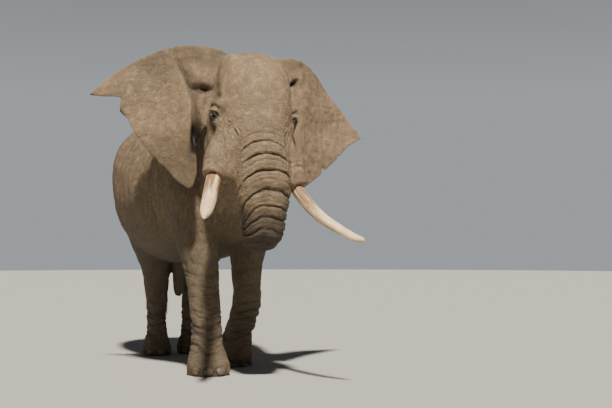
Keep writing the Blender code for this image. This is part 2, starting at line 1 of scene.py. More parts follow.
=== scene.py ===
# %% [markdown]
# # An African elephant bull
# The model stands as a museum would show it: a grown bull in mid stride, its ears spread and its trunk curled
# to its mouth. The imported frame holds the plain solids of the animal. This script dresses them with one skin,
# smooth tusks, eyes, toenails and hair. Everything is in metres, +Z is up, the bull faces -Y and its own left
# side is +X.

# %% Load the frame and keep its size
import json
import math

import bmesh
import bpy
import numpy as np
from mathutils import Matrix, Vector

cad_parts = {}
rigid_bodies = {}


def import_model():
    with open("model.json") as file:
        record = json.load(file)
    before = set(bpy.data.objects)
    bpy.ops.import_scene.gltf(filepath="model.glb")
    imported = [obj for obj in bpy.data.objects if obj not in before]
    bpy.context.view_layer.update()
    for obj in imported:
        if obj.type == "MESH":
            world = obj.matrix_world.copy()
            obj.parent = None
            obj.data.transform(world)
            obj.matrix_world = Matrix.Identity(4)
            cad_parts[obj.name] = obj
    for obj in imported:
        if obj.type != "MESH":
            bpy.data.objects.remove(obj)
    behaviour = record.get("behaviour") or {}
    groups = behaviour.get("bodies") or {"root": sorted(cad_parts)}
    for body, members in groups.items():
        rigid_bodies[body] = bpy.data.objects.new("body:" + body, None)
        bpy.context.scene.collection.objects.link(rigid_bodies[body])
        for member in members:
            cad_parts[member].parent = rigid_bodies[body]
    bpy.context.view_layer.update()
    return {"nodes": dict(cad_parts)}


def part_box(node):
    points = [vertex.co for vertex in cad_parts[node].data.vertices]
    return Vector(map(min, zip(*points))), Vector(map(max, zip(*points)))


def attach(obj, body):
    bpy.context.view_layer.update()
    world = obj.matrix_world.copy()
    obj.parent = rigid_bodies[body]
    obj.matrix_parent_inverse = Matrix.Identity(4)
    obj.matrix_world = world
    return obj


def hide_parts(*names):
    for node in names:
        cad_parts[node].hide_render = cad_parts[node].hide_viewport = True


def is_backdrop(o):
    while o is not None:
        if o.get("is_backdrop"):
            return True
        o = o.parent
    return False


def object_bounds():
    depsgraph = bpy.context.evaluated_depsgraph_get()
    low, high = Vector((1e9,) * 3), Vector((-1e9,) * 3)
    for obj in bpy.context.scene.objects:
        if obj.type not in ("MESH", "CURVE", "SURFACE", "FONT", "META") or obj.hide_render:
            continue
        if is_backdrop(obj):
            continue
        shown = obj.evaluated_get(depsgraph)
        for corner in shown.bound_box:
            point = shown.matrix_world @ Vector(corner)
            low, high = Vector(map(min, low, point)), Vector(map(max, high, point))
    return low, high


for leftover in list(bpy.data.objects):
    bpy.data.objects.remove(leftover, do_unlink=True)
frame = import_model()
nodes = frame["nodes"]

# %% [markdown]
# ## Where the viewer stands
# The bull is seen from low in front of its right side, from just under the height of a person's eyes and
# some thirteen metres away. The camera is placed from the right fore foot, which stands nearest, so that it
# keeps its place if the model moves in its frame.

# %% Camera
LENS, SENSOR = 69.0, 36.0     # millimetres
EYE_HEIGHT = 1.53        # of the camera over the ground
VIEW_TURN = math.radians(21.7)
VIEW_RISE = math.radians(1.56)
FOOT_AHEAD, FOOT_ASIDE = 12.988, 1.083

view_dir = Vector((math.sin(VIEW_TURN), math.cos(VIEW_TURN), 0))
view_right = Vector((math.cos(VIEW_TURN), -math.sin(VIEW_TURN), 0))


def middle_of(name):
    """The middle of a solid's box."""
    low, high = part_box(name)
    return (low + high) / 2


fore_foot = middle_of("foreleg_right_foot")
camera_data = bpy.data.cameras.new("camera")
camera_data.lens = LENS
camera_data.sensor_width = SENSOR
camera_data.clip_end = 200
camera = bpy.data.objects.new("camera", camera_data)
camera.location = fore_foot + view_right * FOOT_ASIDE - view_dir * FOOT_AHEAD
camera.location.z = EYE_HEIGHT
aim = view_dir * math.cos(VIEW_RISE) + Vector((0, 0, math.sin(VIEW_RISE)))
camera.rotation_mode = "QUATERNION"
camera.rotation_quaternion = aim.to_track_quat("-Z", "Y")
bpy.context.scene.collection.objects.link(camera)
bpy.context.scene.camera = camera
print("camera at", [round(v, 2) for v in camera.location])

# %% [markdown]
# ## Measures of the head
# The head leans and turns a little, so its features are easiest to place in its own measure: how far to the
# bull's left, how far ahead and how far up from a point midway between the eyes. The two eyes give the
# sideways direction, and the rest follows.

# %% Head measure
EYES_AHEAD = 0.085       # the eyes lie this far ahead of the middle of the head's measure
EYE_ASIDE = (middle_of("eye_left") - middle_of("eye_right")).length / 2

head_side = (middle_of("eye_left") - middle_of("eye_right")).normalized()
head_up = (Vector((0, 0, 1)) - head_side * head_side.z).normalized()
head_ahead = head_side.cross(head_up)
head_origin = (middle_of("eye_left") + middle_of("eye_right")) / 2 - head_ahead * EYES_AHEAD
HEAD_AXES = np.array([head_side, head_ahead, head_up])
print("eyes", round(EYE_ASIDE * 2, 3), "m apart")


def in_head(points):
    """World points in the head's measure: side, ahead, up."""
    return (points - np.array(head_origin)) @ HEAD_AXES.T


def from_head(points):
    """Points in the head's measure, in the world."""
    return np.asarray(points, float) @ HEAD_AXES + np.array(head_origin)

# %% [markdown]
# ## One skin from many solids
# A real hide has no seams, but the frame is parted into head, legs and so on. A voxel remesh joins copies
# of all the fleshy solids into one closed surface. The pockets of the eyes and tusks are plugged first, so
# that the skin can be shaped round them afterwards. Each point remembers which solid it came from, as a
# number.

# %% Join the flesh
FLESH = [name for name in sorted(nodes) if not name.startswith(("nail", "eye", "tusk", "tail_tuft"))]
VOXEL = 0.012
JOIN_GROWTH = 0.001      # closes the hairlines between the solids
PLUG_LENGTH = 0.10       # how much of a tusk is left in the skin as a plug


def link(mesh, name):
    obj = bpy.data.objects.new(name, mesh)
    bpy.context.scene.collection.objects.link(obj)
    return obj


def use(obj):
    """Makes one object the active and only selected one."""
    for other in bpy.context.selected_objects:
        other.select_set(False)
    obj.select_set(True)
    bpy.context.view_layer.objects.active = obj


def apply_all(obj):
    """Applies every modifier of an object."""
    use(obj)
    for name in [modifier.name for modifier in obj.modifiers]:
        bpy.ops.object.modifier_apply(modifier=name)


flesh = bmesh.new()
number = flesh.verts.layers.float.new("solid")
for k, name in enumerate(FLESH + ["eye_left", "eye_right"]):
    first = len(flesh.verts)
    flesh.from_mesh(nodes[name].data)
    flesh.verts.ensure_lookup_table()
    for vert in flesh.verts[first:]:
        vert[number] = k
for name in ("tusk_left", "tusk_right"):
    plug = bmesh.new()
    plug.from_mesh(nodes[name].data)
    bmesh.ops.remove_doubles(plug, verts=plug.verts, dist=1e-5)
    root = max(plug.verts, key=lambda vert: vert.co.y).co.copy()
    tip = min(plug.verts, key=lambda vert: vert.co.y).co.copy()
    cut_at = root + Vector((0, -1, 0)) * PLUG_LENGTH
    bmesh.ops.bisect_plane(
        plug, geom=plug.verts[:] + plug.edges[:] + plug.faces[:],
        plane_co=cut_at, plane_no=(tip - root).normalized(), clear_outer=True,
    )
    rim = [edge for edge in plug.edges if edge.is_boundary]
    bmesh.ops.contextual_create(plug, geom=rim)
    part = bpy.data.meshes.new("plug")
    plug.to_mesh(part)
    plug.free()
    first = len(flesh.verts)
    flesh.from_mesh(part)
    flesh.verts.ensure_lookup_table()
    for vert in flesh.verts[first:]:
        vert[number] = FLESH.index("head")
    bpy.data.meshes.remove(part)
bmesh.ops.remove_doubles(flesh, verts=flesh.verts, dist=1e-5)
skin_mesh = bpy.data.meshes.new("skin")
flesh.to_mesh(skin_mesh)
flesh.free()
skin = link(skin_mesh, "skin")
grow = skin.modifiers.new("grow", "DISPLACE")
grow.strength = JOIN_GROWTH
grow.mid_level = 0.0
apply_all(skin)
skin.data.remesh_voxel_size = VOXEL
skin.data.use_remesh_preserve_attributes = True
bpy.ops.object.voxel_remesh()
print("joined skin:", len(skin.data.vertices), "points")

# %% [markdown]
# ## Smoothing without shrinking
# The solids have flat facets, and living flesh has none. Plain smoothing rounds the facets away, but it
# also makes limbs thinner. So the skin is smoothed twice: if one pass turns the shape x into Sx, then 2Sx -
# SSx keeps the girth and still loses the facets. A group of weights says how far the smoothing goes at each
# part.

# %% Smooth the facets away
SMOOTH_ROUNDS = 74
SOFTNESS = {
    "torso": 1.0, "neck": 0.9, "head": 0.42, "lower_jaw": 0.3, "trunk_upper": 0.42, "trunk_middle": 0.28,
    "trunk_tip": 0.10, "tail": 0.05, "sheath": 0.15, "ear_left": 0.30, "ear_right": 0.30,
}
MOST_MOVE = {"ear_left": 0.0045, "ear_right": 0.0045, "tail": 0.004, "trunk_tip": 0.006}
OTHER_SOFTNESS, OTHER_MOVE = 0.45, 0.012


def column(mesh, name):
    """A mesh's point attribute as an array."""
    values = np.zeros(len(mesh.vertices), np.float32)
    mesh.attributes[name].data.foreach_get("value", values)
    return values


def points_of(mesh):
    found = np.zeros(len(mesh.vertices) * 3, np.float32)
    mesh.vertices.foreach_get("co", found)
    return found.reshape(-1, 3).astype(float)


def normals_of(mesh):
    found = np.zeros(len(mesh.vertices) * 3, np.float32)
    mesh.vertex_normals.foreach_get("vector", found)
    return found.reshape(-1, 3).astype(float)


def put_points(mesh, points):
    mesh.vertices.foreach_set("co", points.astype(np.float32).ravel())
    mesh.update()


def smooth_step(values, start, end):
    """0 before start, 1 after end, and smooth between. Start may be the larger of the two."""
    share = np.clip((values - start) / (end - start), 0, 1)
    return share * share * (3 - 2 * share)


def mm(length):
    """A length in whole millimetres, for printing."""
    return round(float(length) * 1000)


solid_of = np.rint(column(skin.data, "solid")).astype(int)
solid_names = FLESH + ["eye_left", "eye_right"]
before = points_of(skin.data)
softness = np.array([SOFTNESS.get(name, OTHER_SOFTNESS) for name in solid_names])[solid_of]
softness[before[:, 2] < 0.03] *= 0.2
group = skin.vertex_groups.new(name="soft")
for level in np.unique(softness):
    group.add(np.flatnonzero(softness == level).tolist(), float(level), "REPLACE")
for step in range(2):
    ease = skin.modifiers.new("ease", "SMOOTH")
    ease.factor = 1.0
    ease.iterations = SMOOTH_ROUNDS
    ease.vertex_group = "soft"
    apply_all(skin)
    if step == 0:
        once = points_of(skin.data)
move = 2 * once - points_of(skin.data) - before
limit = np.array([MOST_MOVE.get(name, OTHER_MOVE) for name in solid_names])[solid_of]
length = np.linalg.norm(move, axis=1)
move *= np.minimum(1.0, limit / np.maximum(length, 1e-9))[:, None]
after = before + move
after[before[:, 2] < 0.004, 2] = 0.0
after[:, 2] = np.maximum(after[:, 2], 0.0)
put_points(skin.data, after)
skin.vertex_groups.clear()
print("facets moved by up to", mm(length.max()), "mm")

# %% [markdown]
# ## Parts of the skin
# Folds differ from part to part: rings on the trunk, upright lines on the flank, level bands on the legs.
# Each part gets a weight from 0 to 1 at every point, spread a little over its borders so that one kind of
# fold passes softly into the next.

# %% Part weights
PARTS = {
    "ear": ("ear_left", "ear_right"),
    "trunk": ("trunk_upper", "trunk_middle", "trunk_tip"),
    "face": ("head", "lower_jaw", "eye_left", "eye_right"),
    "body": ("torso", "neck", "sheath"),
    "leg": tuple(name for name in FLESH if "leg_" in name),
    "tail": ("tail",),
}
SPREAD_ROUNDS = {"ear": 3, "trunk": 7, "face": 4, "body": 9, "leg": 12, "tail": 3}


def edges_of(mesh):
    found = np.zeros(len(mesh.edges) * 2, np.int32)
    mesh.edges.foreach_get("vertices", found)
    return found.reshape(-1, 2)


def spread(values, edges, rounds):
    """Averages each point with its neighbours, round after round."""
    ends = np.concatenate([edges[:, 0], edges[:, 1]])
    others = np.concatenate([edges[:, 1], edges[:, 0]])
    count = np.maximum(np.bincount(ends, minlength=len(values)), 1)
    for _ in range(rounds):
        values = 0.5 * values + 0.5 * np.bincount(ends, weights=values[others], minlength=len(values)) / count
    return values


def keep_column(mesh, name, values):
    """Stores an array as a point attribute."""
    if name not in mesh.attributes:
        mesh.attributes.new(name, "FLOAT", "POINT")
    mesh.attributes[name].data.foreach_set("value", values.astype(np.float32))


edges = edges_of(skin.data)
for part, members in PARTS.items():
    inside = np.isin(solid_of, [solid_names.index(member) for member in members]).astype(float)
    keep_column(skin.data, part, spread(inside, edges, SPREAD_ROUNDS[part]))
print("weights for", ", ".join(PARTS))

# %% [markdown]
# ## Folds from noise and lines
# Two helpers make nearly all of the folds. Smooth noise, stretched far along one direction, has long thin
# valleys that look like wrinkles. The distance from a drawn line gives single deep creases.

# %% Fold helpers


def lattice(cells, seed):
    """A repeatable number from -1 to 1 for each cell of a grid."""
    mixed = (cells[:, 0] * 73856093) ^ (cells[:, 1] * 19349663) ^ (cells[:, 2] * 83492791)
    mixed = mixed ^ (seed * 9176563 + 7)
    mixed = (mixed ^ (mixed >> 13)) * 1274126177
    mixed = mixed ^ (mixed >> 16)
    return (mixed & 0xFFFF) / 32767.5 - 1


def noise(points, seed=0, where=None):
    """Smooth noise from -1 to 1 whose bumps are about one unit wide. It is 0 where the weight given is 0."""
    if where is not None:
        some = np.flatnonzero(where > 0.01)
        spread_out = np.zeros(len(points))
        spread_out[some] = noise(points[some], seed)
        return spread_out
    cell = np.floor(points).astype(np.int64)
    part = points - cell
    part = part * part * (3 - 2 * part)
    total = np.zeros(len(points))
    for corner in range(8):
        pick = np.array([corner & 1, corner >> 1 & 1, corner >> 2 & 1])
        share = np.prod(np.where(pick, part, 1 - part), axis=1)
        total += share * lattice(cell + pick, seed)
    return total


def valleys(across, along, third, seed, where=None):
    """Wrinkles: 1 on a valley's line, 0 between. Places are given in units of the wrinkles' own spacing."""
    line = noise(np.column_stack([across, along, third]), seed, where)
    found = np.clip(1 - np.abs(line) * 2.6, 0, 1) ** 1.5
    return found if where is None else found * (where > 0.01)


def line_gap(points, line):
    """Distance of each point from a drawn line of points, and how far along it from 0 to 1."""
    line = np.asarray(line, float)
    steps = np.linalg.norm(np.diff(line, axis=0), axis=1)
    starts = np.concatenate([[0], np.cumsum(steps)])
    best = np.full(len(points), 1e9)
    along = np.zeros(len(points))
    for k in range(len(line) - 1):
        way = line[k + 1] - line[k]
        share = np.clip((points - line[k]) @ way / steps[k] ** 2, 0, 1)
        gap = np.linalg.norm(points - line[k] - share[:, None] * way, axis=1)
        nearer = gap < best
        best[nearer] = gap[nearer]
        along[nearer] = (starts[k] + share[nearer] * steps[k]) / starts[-1]
    return best, along


def crease(points, line, depth, width, lip=0.35):
    """Height of a drawn crease with soft lips, which runs out at both ends."""
    reach = width * 5
    low, high = np.min(line, axis=0) - reach, np.max(line, axis=0) + reach
    near = np.flatnonzero(np.all((points > low) & (points < high), axis=1))
    height = np.zeros(len(points))
    gap, along = line_gap(points[near], line)
    fade = smooth_step(along, 0, 0.15) * smooth_step(along, 1, 0.85)
    gap = gap / width
    height[near] = fade * depth * (-np.exp(-gap ** 2) + lip * np.exp(-(gap - 1.9) ** 2 / 0.9))
    return height


def dome(points, middle, radii):
    """1 in the middle, falling smoothly to 0 at about twice the radii."""
    gap = (points - np.asarray(middle, float)) / np.asarray(radii, float)
    return np.exp(-np.sum(gap ** 2, axis=1))


def domes(points, rows, sign=1):
    """The sum of some domes. Each row is a height, a middle and radii, and a sign of -1 swaps the sides."""
    return sum(height * dome(points, (sign * side, ahead, up), radii)
               for height, (side, ahead, up), radii in rows)


def within(values, start, full, fade, end):
    """Rises smoothly from 0 at start to 1 at full, and falls from fade to 0 at end."""
    return smooth_step(values, start, full) * smooth_step(values, end, fade)


def beside_head(line, sign):
    """A line drawn on the left side of the head, or with a sign of -1 on the right."""
    return [(sign * side, ahead, up) for side, ahead, up in line]

# %% [markdown]
# ## The trunk's own measure
# A trunk is a bent tube, so its rings are placed by how far along its middle line a point lies, and by the
# angle round it. The middle line runs from the forehead down, round the bend and up to the mouth. Each point
# slides along the line until it lies square beside it.

# %% Trunk measure
TRUNK_LINE = [            # side, ahead, up and the trunk's half width there
    (0, 0.09, 0.42, 0.20), (0, 0.14, 0.20, 0.26), (0.003, 0.19, 0.02, 0.30), (0.008, 0.24, -0.14, 0.315),
    (0.015, 0.31, -0.34, 0.295), (0.025, 0.385, -0.58, 0.27), (0.035, 0.43, -0.80, 0.24),
    (0.042, 0.435, -1.0, 0.203), (0.048, 0.405, -1.135, 0.182), (0.052, 0.325, -1.215, 0.166),
    (0.052, 0.225, -1.225, 0.15), (0.048, 0.145, -1.165, 0.134), (0.040, 0.100, -1.07, 0.118),
    (0.032, 0.090, -0.96, 0.102), (0.024, 0.105, -0.86, 0.092), (0.020, 0.125, -0.80, 0.08),
]
STEP = 0.006             # between the stations on the line
ROUNDING, SLIDES = 60, 10
raw = np.array(TRUNK_LINE)
marks = np.concatenate([[0], np.cumsum(np.linalg.norm(np.diff(raw[:, :3], axis=0), axis=1))])
stations = np.arange(0, marks[-1], STEP)
core = np.column_stack([np.interp(stations, marks, raw[:, k]) for k in range(4)])
for _ in range(ROUNDING):
    core[1:-1] = 0.25 * core[:-2] + 0.5 * core[1:-1] + 0.25 * core[2:]
heading = np.gradient(core[:, :3], axis=0)
heading /= np.linalg.norm(heading, axis=1)[:, None]
TRUNK_END = float(stations[-1])


def on_core(table, at):
    """A table's three columns at some distances along the trunk."""
    return np.column_stack([np.interp(at, stations, table[:, k]) for k in range(3)])


def trunk_measure(points):
    """How far along the trunk, the angle round it from its front, and the distance from its middle line."""
    coarse = core[::6]
    best = np.full(len(points), 1e9)
    along = np.zeros(len(points))
    for k, sample in enumerate(coarse):
        gap = np.linalg.norm(points - sample[:3], axis=1) / sample[3]
        nearer = gap < best
        best[nearer] = gap[nearer]
        along[nearer] = stations[k * 6]
    for _ in range(SLIDES):
        ahead_by = np.sum((points - on_core(core, along)) * on_core(heading, along), axis=1)
        along = np.clip(along + np.clip(0.55 * ahead_by, -0.05, 0.05), 0, TRUNK_END)
    out = points - on_core(core, along)
    front = np.cross([1.0, 0, 0], on_core(heading, along))
    turn = np.arctan2(out[:, 0], np.sum(out * front, axis=1))
    return along, turn, np.linalg.norm(out, axis=1)


print("trunk line", round(TRUNK_END, 2), "m long")

# %% [markdown]
# ## Broad forms
# First come the shapes a hand's breadth and more across: the swell of the trunk between the tusks, hollow
# temples, the brow over each eye, the cheeks, shoulder blades, hips and ribs. They are moved on the even
# mesh, before it is refined.

# %% Broad forms of the head
HEAD_FORMS = [            # height, place beside the head and radii, the same on both sides
    (-0.045, (0.47, -0.03, 0.29), (0.07, 0.12, 0.13)),        # temple
    (0.034, (0.44, 0.09, 0.115), (0.09, 0.10, 0.040)),        # brow
    (-0.022, (0.45, 0.06, 0.205), (0.09, 0.12, 0.040)),       # dip over the brow
    (-0.040, (0.42, 0.22, 0.02), (0.10, 0.055, 0.08)),        # hollow before the eye
    (-0.040, (0.46, 0.20, -0.22), (0.12, 0.14, 0.10)),        # waist under the eye
    (-0.018, (0.45, 0.12, -0.14), (0.06, 0.06, 0.05)),        # pocket under the eye
    (0.022, (0.46, 0.36, -0.42), (0.12, 0.10, 0.12)),         # cheek over the tusk
    (-0.020, (0.28, 0.40, -0.62), (0.05, 0.10, 0.16)),        # groove beside the trunk
]
FULLER_LEFT = [(0.030, (0.47, 0.04, 0.02), (0.09, 0.09, 0.12))]     # the left eye stands out more
world_points = points_of(skin.data)
at = in_head(world_points)
out = normals_of(skin.data)
face = column(skin.data, "face")
trunk = column(skin.data, "trunk")
ear = column(skin.data, "ear")
front_half = np.clip(face + trunk, 0, 1)
near_trunk = np.flatnonzero((front_half > 0.02) & (np.abs(at[:, 0]) < 0.7) & (at[:, 1] > -0.2))
along, turn, apart = trunk_measure(at[near_trunk])
head_forms = np.zeros(len(at))
girth = np.interp(along, stations, core[:, 3])
on_trunk = smooth_step(apart / girth, 1.45, 1.15)
head_forms[near_trunk] = on_trunk * (
    0.055 * within(along, 0.70, 1.15, 1.60, 1.95) * smooth_step(np.sin(turn), 0.1, 0.8)        # left side
    + 0.030 * within(along, 0.85, 1.20, 1.30, 1.50) * smooth_step(-np.sin(turn), 0.3, 0.9)     # right side
    + 0.022 * within(along, 1.45, 1.60, 1.70, 1.85) * smooth_step(np.cos(turn), -0.1, 0.6)     # over the bend
)
for sign in (-1, 1):
    head_forms += front_half * domes(at, HEAD_FORMS, sign)
head_forms += front_half * domes(at, FULLER_LEFT)
head_forms += front_half * (noise(at * 7, 3, front_half) * 0.006 + noise(at * 16, 4, front_half) * 0.003)
world_points = world_points + out * head_forms[:, None]
put_points(skin.data, world_points)
print("head forms up to", mm(np.abs(head_forms).max()), "mm")

# %% [markdown]
# The ears hang from a deep fold at their root. A blade is a thin sheet, so its folds must move both of its
# faces together: they are pushed ahead or back as a whole, never along the normals. The lobe of the right
# ear reaches further down and towards the cheek than its solid does.

# %% Broad forms of the ears
EAR_ROOT = [(-0.86, -0.44, 0.66), (-0.76, -0.38, 0.60), (-0.68, -0.30, 0.44), (-0.610, -0.21, 0.24),
            (-0.580, -0.19, 0.10), (-0.565, -0.18, -0.03), (-0.555, -0.18, -0.18), (-0.56, -0.19, -0.34)]
EAR_FOLD = [(-0.500, -0.165, 0.27), (-0.525, -0.175, 0.12), (-0.505, -0.165, -0.05)]
FROM_AHEAD = np.array([1, 0.35, 1])      # gaps are measured mostly as seen from ahead
PIT_ASIDE, PIT_AHEAD = 0.505, -0.17
EARS = [                  # side, groove's depth and lift; the pit's height, slope, half sizes and depth
    (-1, 0.045, 0.00, 0.300, 0.10, (0.085, 0.042), 0.068),
    (1, 0.000, 0.05, 0.450, 0.90, (0.060, 0.026), 0.080),        # a slanting slot
]
ROOT_SWELLS = [(0.571, 0.450, 0.026, 0.050), (0.600, 0.600, -0.030, 0.055)]    # aside, up, push, half width
at = in_head(world_points)
body = column(skin.data, "body")
side, ahead, up = at.T

# the right lobe is fuller, and the crown runs on into the ears' upper roots without a deep dip
lobe = ear * smooth_step(side, -1.15, -0.72) * (side < 0)
full_end = lobe * dome(at, (-0.82, -0.20, -0.66), (0.10, 0.60, 0.08))
move_side = 0.085 * lobe * smooth_step(up, -0.10, -0.72) - 0.045 * full_end
move_up = -0.034 * lobe * smooth_step(up, -0.30, -0.68) - 0.018 * full_end
move_up += 0.082 * dome(at, (-0.36, -0.20, 0.60), (0.13, 0.40, 0.12))
move_up += 0.028 * dome(at, (0.27, -0.20, 0.60), (0.10, 0.40, 0.10))
outer = smooth_step(np.abs(side), 0.5, 0.8)
move_ahead = ear * outer * (0.020 * noise(at * 2.6, 21, ear) + 0.007 * noise(at * 6.5, 22, ear))

# the right ear shows a fold before its root, and falls back behind the cheek
flat_at = at * FROM_AHEAD
gap, _ = line_gap(flat_at, np.array(EAR_FOLD) * FROM_AHEAD)
move_ahead += 0.030 * np.exp(-(gap / 0.030) ** 2) * (side < -0.3)
move_ahead -= 0.13 * dome(flat_at, (-0.545, -0.17 * 0.35, -0.20), (0.040, 0.10, 0.17))

# each root is a groove with a ragged pit beside it
rough_edge = 1 + 0.30 * noise(at * 14, 24)
torn_edge = 0.35 * noise(at * np.array([34, 8, 9]), 25)
for sign, root_depth, lift, pit_up, slope, pit_size, pit_depth in EARS:
    root = np.array(EAR_ROOT) * np.array([-sign, 1, 1]) + np.array([0, 0, lift])
    gap, along = line_gap(flat_at, root * FROM_AHEAD)
    wide = 0.026 + 0.018 * along + 0.010 * noise(at * 9, 23)
    hold = smooth_step(along, 0.0, 0.25) * (sign * side > 0.3)
    move_ahead -= root_depth * hold * np.exp(-(gap / wide) ** 2)
    pit_side, pit_ahead, pit_high = (flat_at - np.array([sign * PIT_ASIDE, 0.35 * PIT_AHEAD, pit_up])).T
    long_way = (pit_side * sign + slope * pit_high) / math.hypot(1, slope)
    short_way = (pit_high - slope * pit_side * sign) / math.hypot(1, slope)
    pit = np.exp(-(long_way / pit_size[0]) ** 2 - (pit_ahead / 0.10) ** 2 - (short_way / pit_size[1]) ** 2)
    if sign < 0:
        pit += 0.45 * np.exp(-((side + 0.585) / 0.030) ** 2 - ((up - 0.30) / 0.050) ** 2)
    pit *= rough_edge + torn_edge * (sign < 0)
    move_ahead -= pit_depth * pit
    move_side -= sign * 0.030 * pit
    for aside, high, push, half in ROOT_SWELLS:
        gap = np.hypot(side - sign * aside, up - high - lift)
        move_ahead += push * np.exp(-(gap / half) ** 2) * (ahead > -0.6)

# soft waves fan out over each blade from its root
fan = np.arctan2(up - 0.15, np.abs(side) - 0.45)
reach = np.hypot(up - 0.15, np.abs(side) - 0.45)
move_ahead += ear * 0.009 * np.sin(fan * 9 + 1.2 * np.sin(reach * 5)) * smooth_step(reach, 0.25, 0.6)
world_points = from_head(at + np.column_stack([move_side, move_ahead, move_up]))
put_points(skin.data, world_points)
print("ear sheets moved by up to", mm(np.abs(move_ahead).max()), "mm")

# %% [markdown]
# Under the hide of the body show the shoulder blades, the hip bones and, faintly, the ribs. They are soft
# domes and one soft wave, so that they come and go without an edge.

# %% Broad forms of the body and legs
BODY_FORMS = [            # height, place and radii in the world
    (0.020, (-0.80, -0.10, 2.30), (0.35, 0.28, 0.55)),        # shoulder blades
    (0.020, (0.72, -0.05, 2.30), (0.35, 0.28, 0.55)),
    (-0.026, (-0.88, 0.34, 2.05), (0.30, 0.09, 0.60)),        # behind the shoulders
    (-0.026, (0.80, 0.36, 2.05), (0.30, 0.09, 0.60)),
    (-0.040, (-0.72, 1.62, 2.30), (0.30, 0.14, 0.28)),        # hollows before the hips
    (-0.040, (0.62, 1.62, 2.30), (0.30, 0.14, 0.28)),
    (0.020, (-0.50, 1.85, 2.62), (0.25, 0.14, 0.16)),         # hip bones
    (0.020, (0.40, 1.85, 2.62), (0.25, 0.14, 0.16)),
]
RIB_SPACING, RIB_HEIGHT = 0.19, 0.0030
out = normals_of(skin.data)
leg = column(skin.data, "leg")
x, y, z = world_points.T
forms = body * domes(world_points, BODY_FORMS)
rib_wave = np.sin(y * 2 * np.pi / RIB_SPACING + 0.8 * z + noise(world_points * 2, 33, body))
rib_cage = smooth_step(np.abs(x), 0.35, 0.6) * within(y, 0.45, 0.8, 1.3, 1.6) * smooth_step(z, 1.6, 1.9)
forms += body * RIB_HEIGHT * rib_wave * rib_cage
fleshy = body + 0.5 * leg
lumps = 0.010 * noise(world_points * 3.1, 31, fleshy) + 0.005 * noise(world_points * 8, 32, fleshy)
forms += fleshy * lumps
above_sole = smooth_step(z, 0.02, 0.10)
world_points = world_points + out * (forms * above_sole)[:, None]
put_points(skin.data, world_points)
print("body forms up to", mm(np.abs(forms).max()), "mm")

# %% [markdown]
# ## A finer mesh where the detail is
# Folds on the face and trunk are only a finger wide, and lids are finer still. So the faces of the head are
# split once, and those round each eye twice, before the skin is shaped.

# %% Refine the head
SPLIT_LOW, SPLIT_HIGH = (-0.62, -0.12, -1.30), (0.62, 2.0, 0.45)      # in the head's measure
SPLIT_ROUND_EYE = 0.135


def refine(obj, chosen):
    """Splits the edges of the faces whose points are all chosen."""
    work = bmesh.new()
    work.from_mesh(obj.data)
    work.verts.ensure_lookup_table()
    edges = [edge for edge in work.edges if chosen[edge.verts[0].index] and chosen[edge.verts[1].index]]
    bmesh.ops.subdivide_edges(work, edges=edges, cuts=1, use_grid_fill=True)
    work.to_mesh(obj.data)
    work.free()


at = in_head(points_of(skin.data))
refine(skin, np.all((at > SPLIT_LOW) & (at < SPLIT_HIGH), axis=1))
at = in_head(points_of(skin.data))
to_eye = np.hypot(np.hypot(np.abs(at[:, 0]) - EYE_ASIDE, at[:, 1] - EYES_AHEAD), at[:, 2])
refine(skin, to_eye < SPLIT_ROUND_EYE)
print("refined skin:", len(skin.data.vertices), "points")

# %% [markdown]
# ## Eyes in their lids
# An elephant's eye is small, deep-set and wrapped by thick lids in a field of fine folds. Each lid is made
# by pushing the skin off the eyeball, except inside an almond-shaped opening, where the skin sinks behind
# the ball.

# %% Lids
LID_LONG, LID_HIGH = 0.031, 0.0150      # half the opening
LID_THICK = 0.0055
CORNER_TILT = 0.10                      # the inner corner hangs lower
LID_FOLD, LID_FOLD_GAP = 0.0030, 0.55   # depth in metres, spacing as a share of the ring's own size
world_points = points_of(skin.data)
eye_radius = float((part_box("eye_right")[1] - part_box("eye_right")[0])[1]) / 2
for sign, name in ((-1, "eye_right"), (1, "eye_left")):
    at = in_head(world_points)
    centre = in_head(np.array([middle_of(name)]))[0]
    near = np.flatnonzero(np.linalg.norm(at - centre, axis=1) < 0.16)
    off = at[near] - centre
    outward = np.array([sign * 0.90, 0.42, 0.10])
    outward /= np.linalg.norm(outward)
    forward = np.array([-sign * 0.42, 0.90, 0.0])
    forward /= np.linalg.norm(forward)
    upward = np.cross(outward, forward)
    upward *= np.sign(upward[2])
    long, high, deep = off @ forward, off @ upward, off @ outward
    high = high + CORNER_TILT * long
    oval = np.sqrt((long / LID_LONG) ** 2 + (high / LID_HIGH) ** 2)
    taller_oval = np.sqrt((long / LID_LONG) ** 2 + (high / (LID_HIGH * 1.5)) ** 2)
    radius = np.linalg.norm(off, axis=1)
    facing = deep > -0.005
    inside = smooth_step(oval, 1.12, 0.88)
    target = (eye_radius + LID_THICK) * (1 - inside) + (eye_radius - 0.006) * inside
    pull = smooth_step(taller_oval, 2.6, 1.15) * facing
    new_radius = radius * (1 - pull) + target * pull
    # rings of folds round the lids, closer together above the eye
    ring = np.sqrt((long / 0.034) ** 2 + ((high - 0.004) / np.where(high > 0, 0.026, 0.021)) ** 2)
    flat_off = np.column_stack([long, high, high * 0])
    band = (ring + 0.30 * noise(flat_off * 38, 51)) * 2 * np.pi / LID_FOLD_GAP
    patchy = 0.5 + 0.5 * noise(flat_off * 30, 52)
    new_radius += LID_FOLD * np.cos(band) * within(ring, 1.05, 1.3, 1.8, 3.2) * facing * patchy
    at[near] = centre + off * (new_radius / np.maximum(radius, 1e-6))[:, None]
    world_points = from_head(at)
put_points(skin.data, world_points)
print("eyeball radius", round(eye_radius * 1000, 1), "mm")

# %% [markdown]
# ## Tip of the trunk
# The trunk ends in two short fingers, one on its outer side and one on its inner side. The two nostrils lie
# side by side between them.

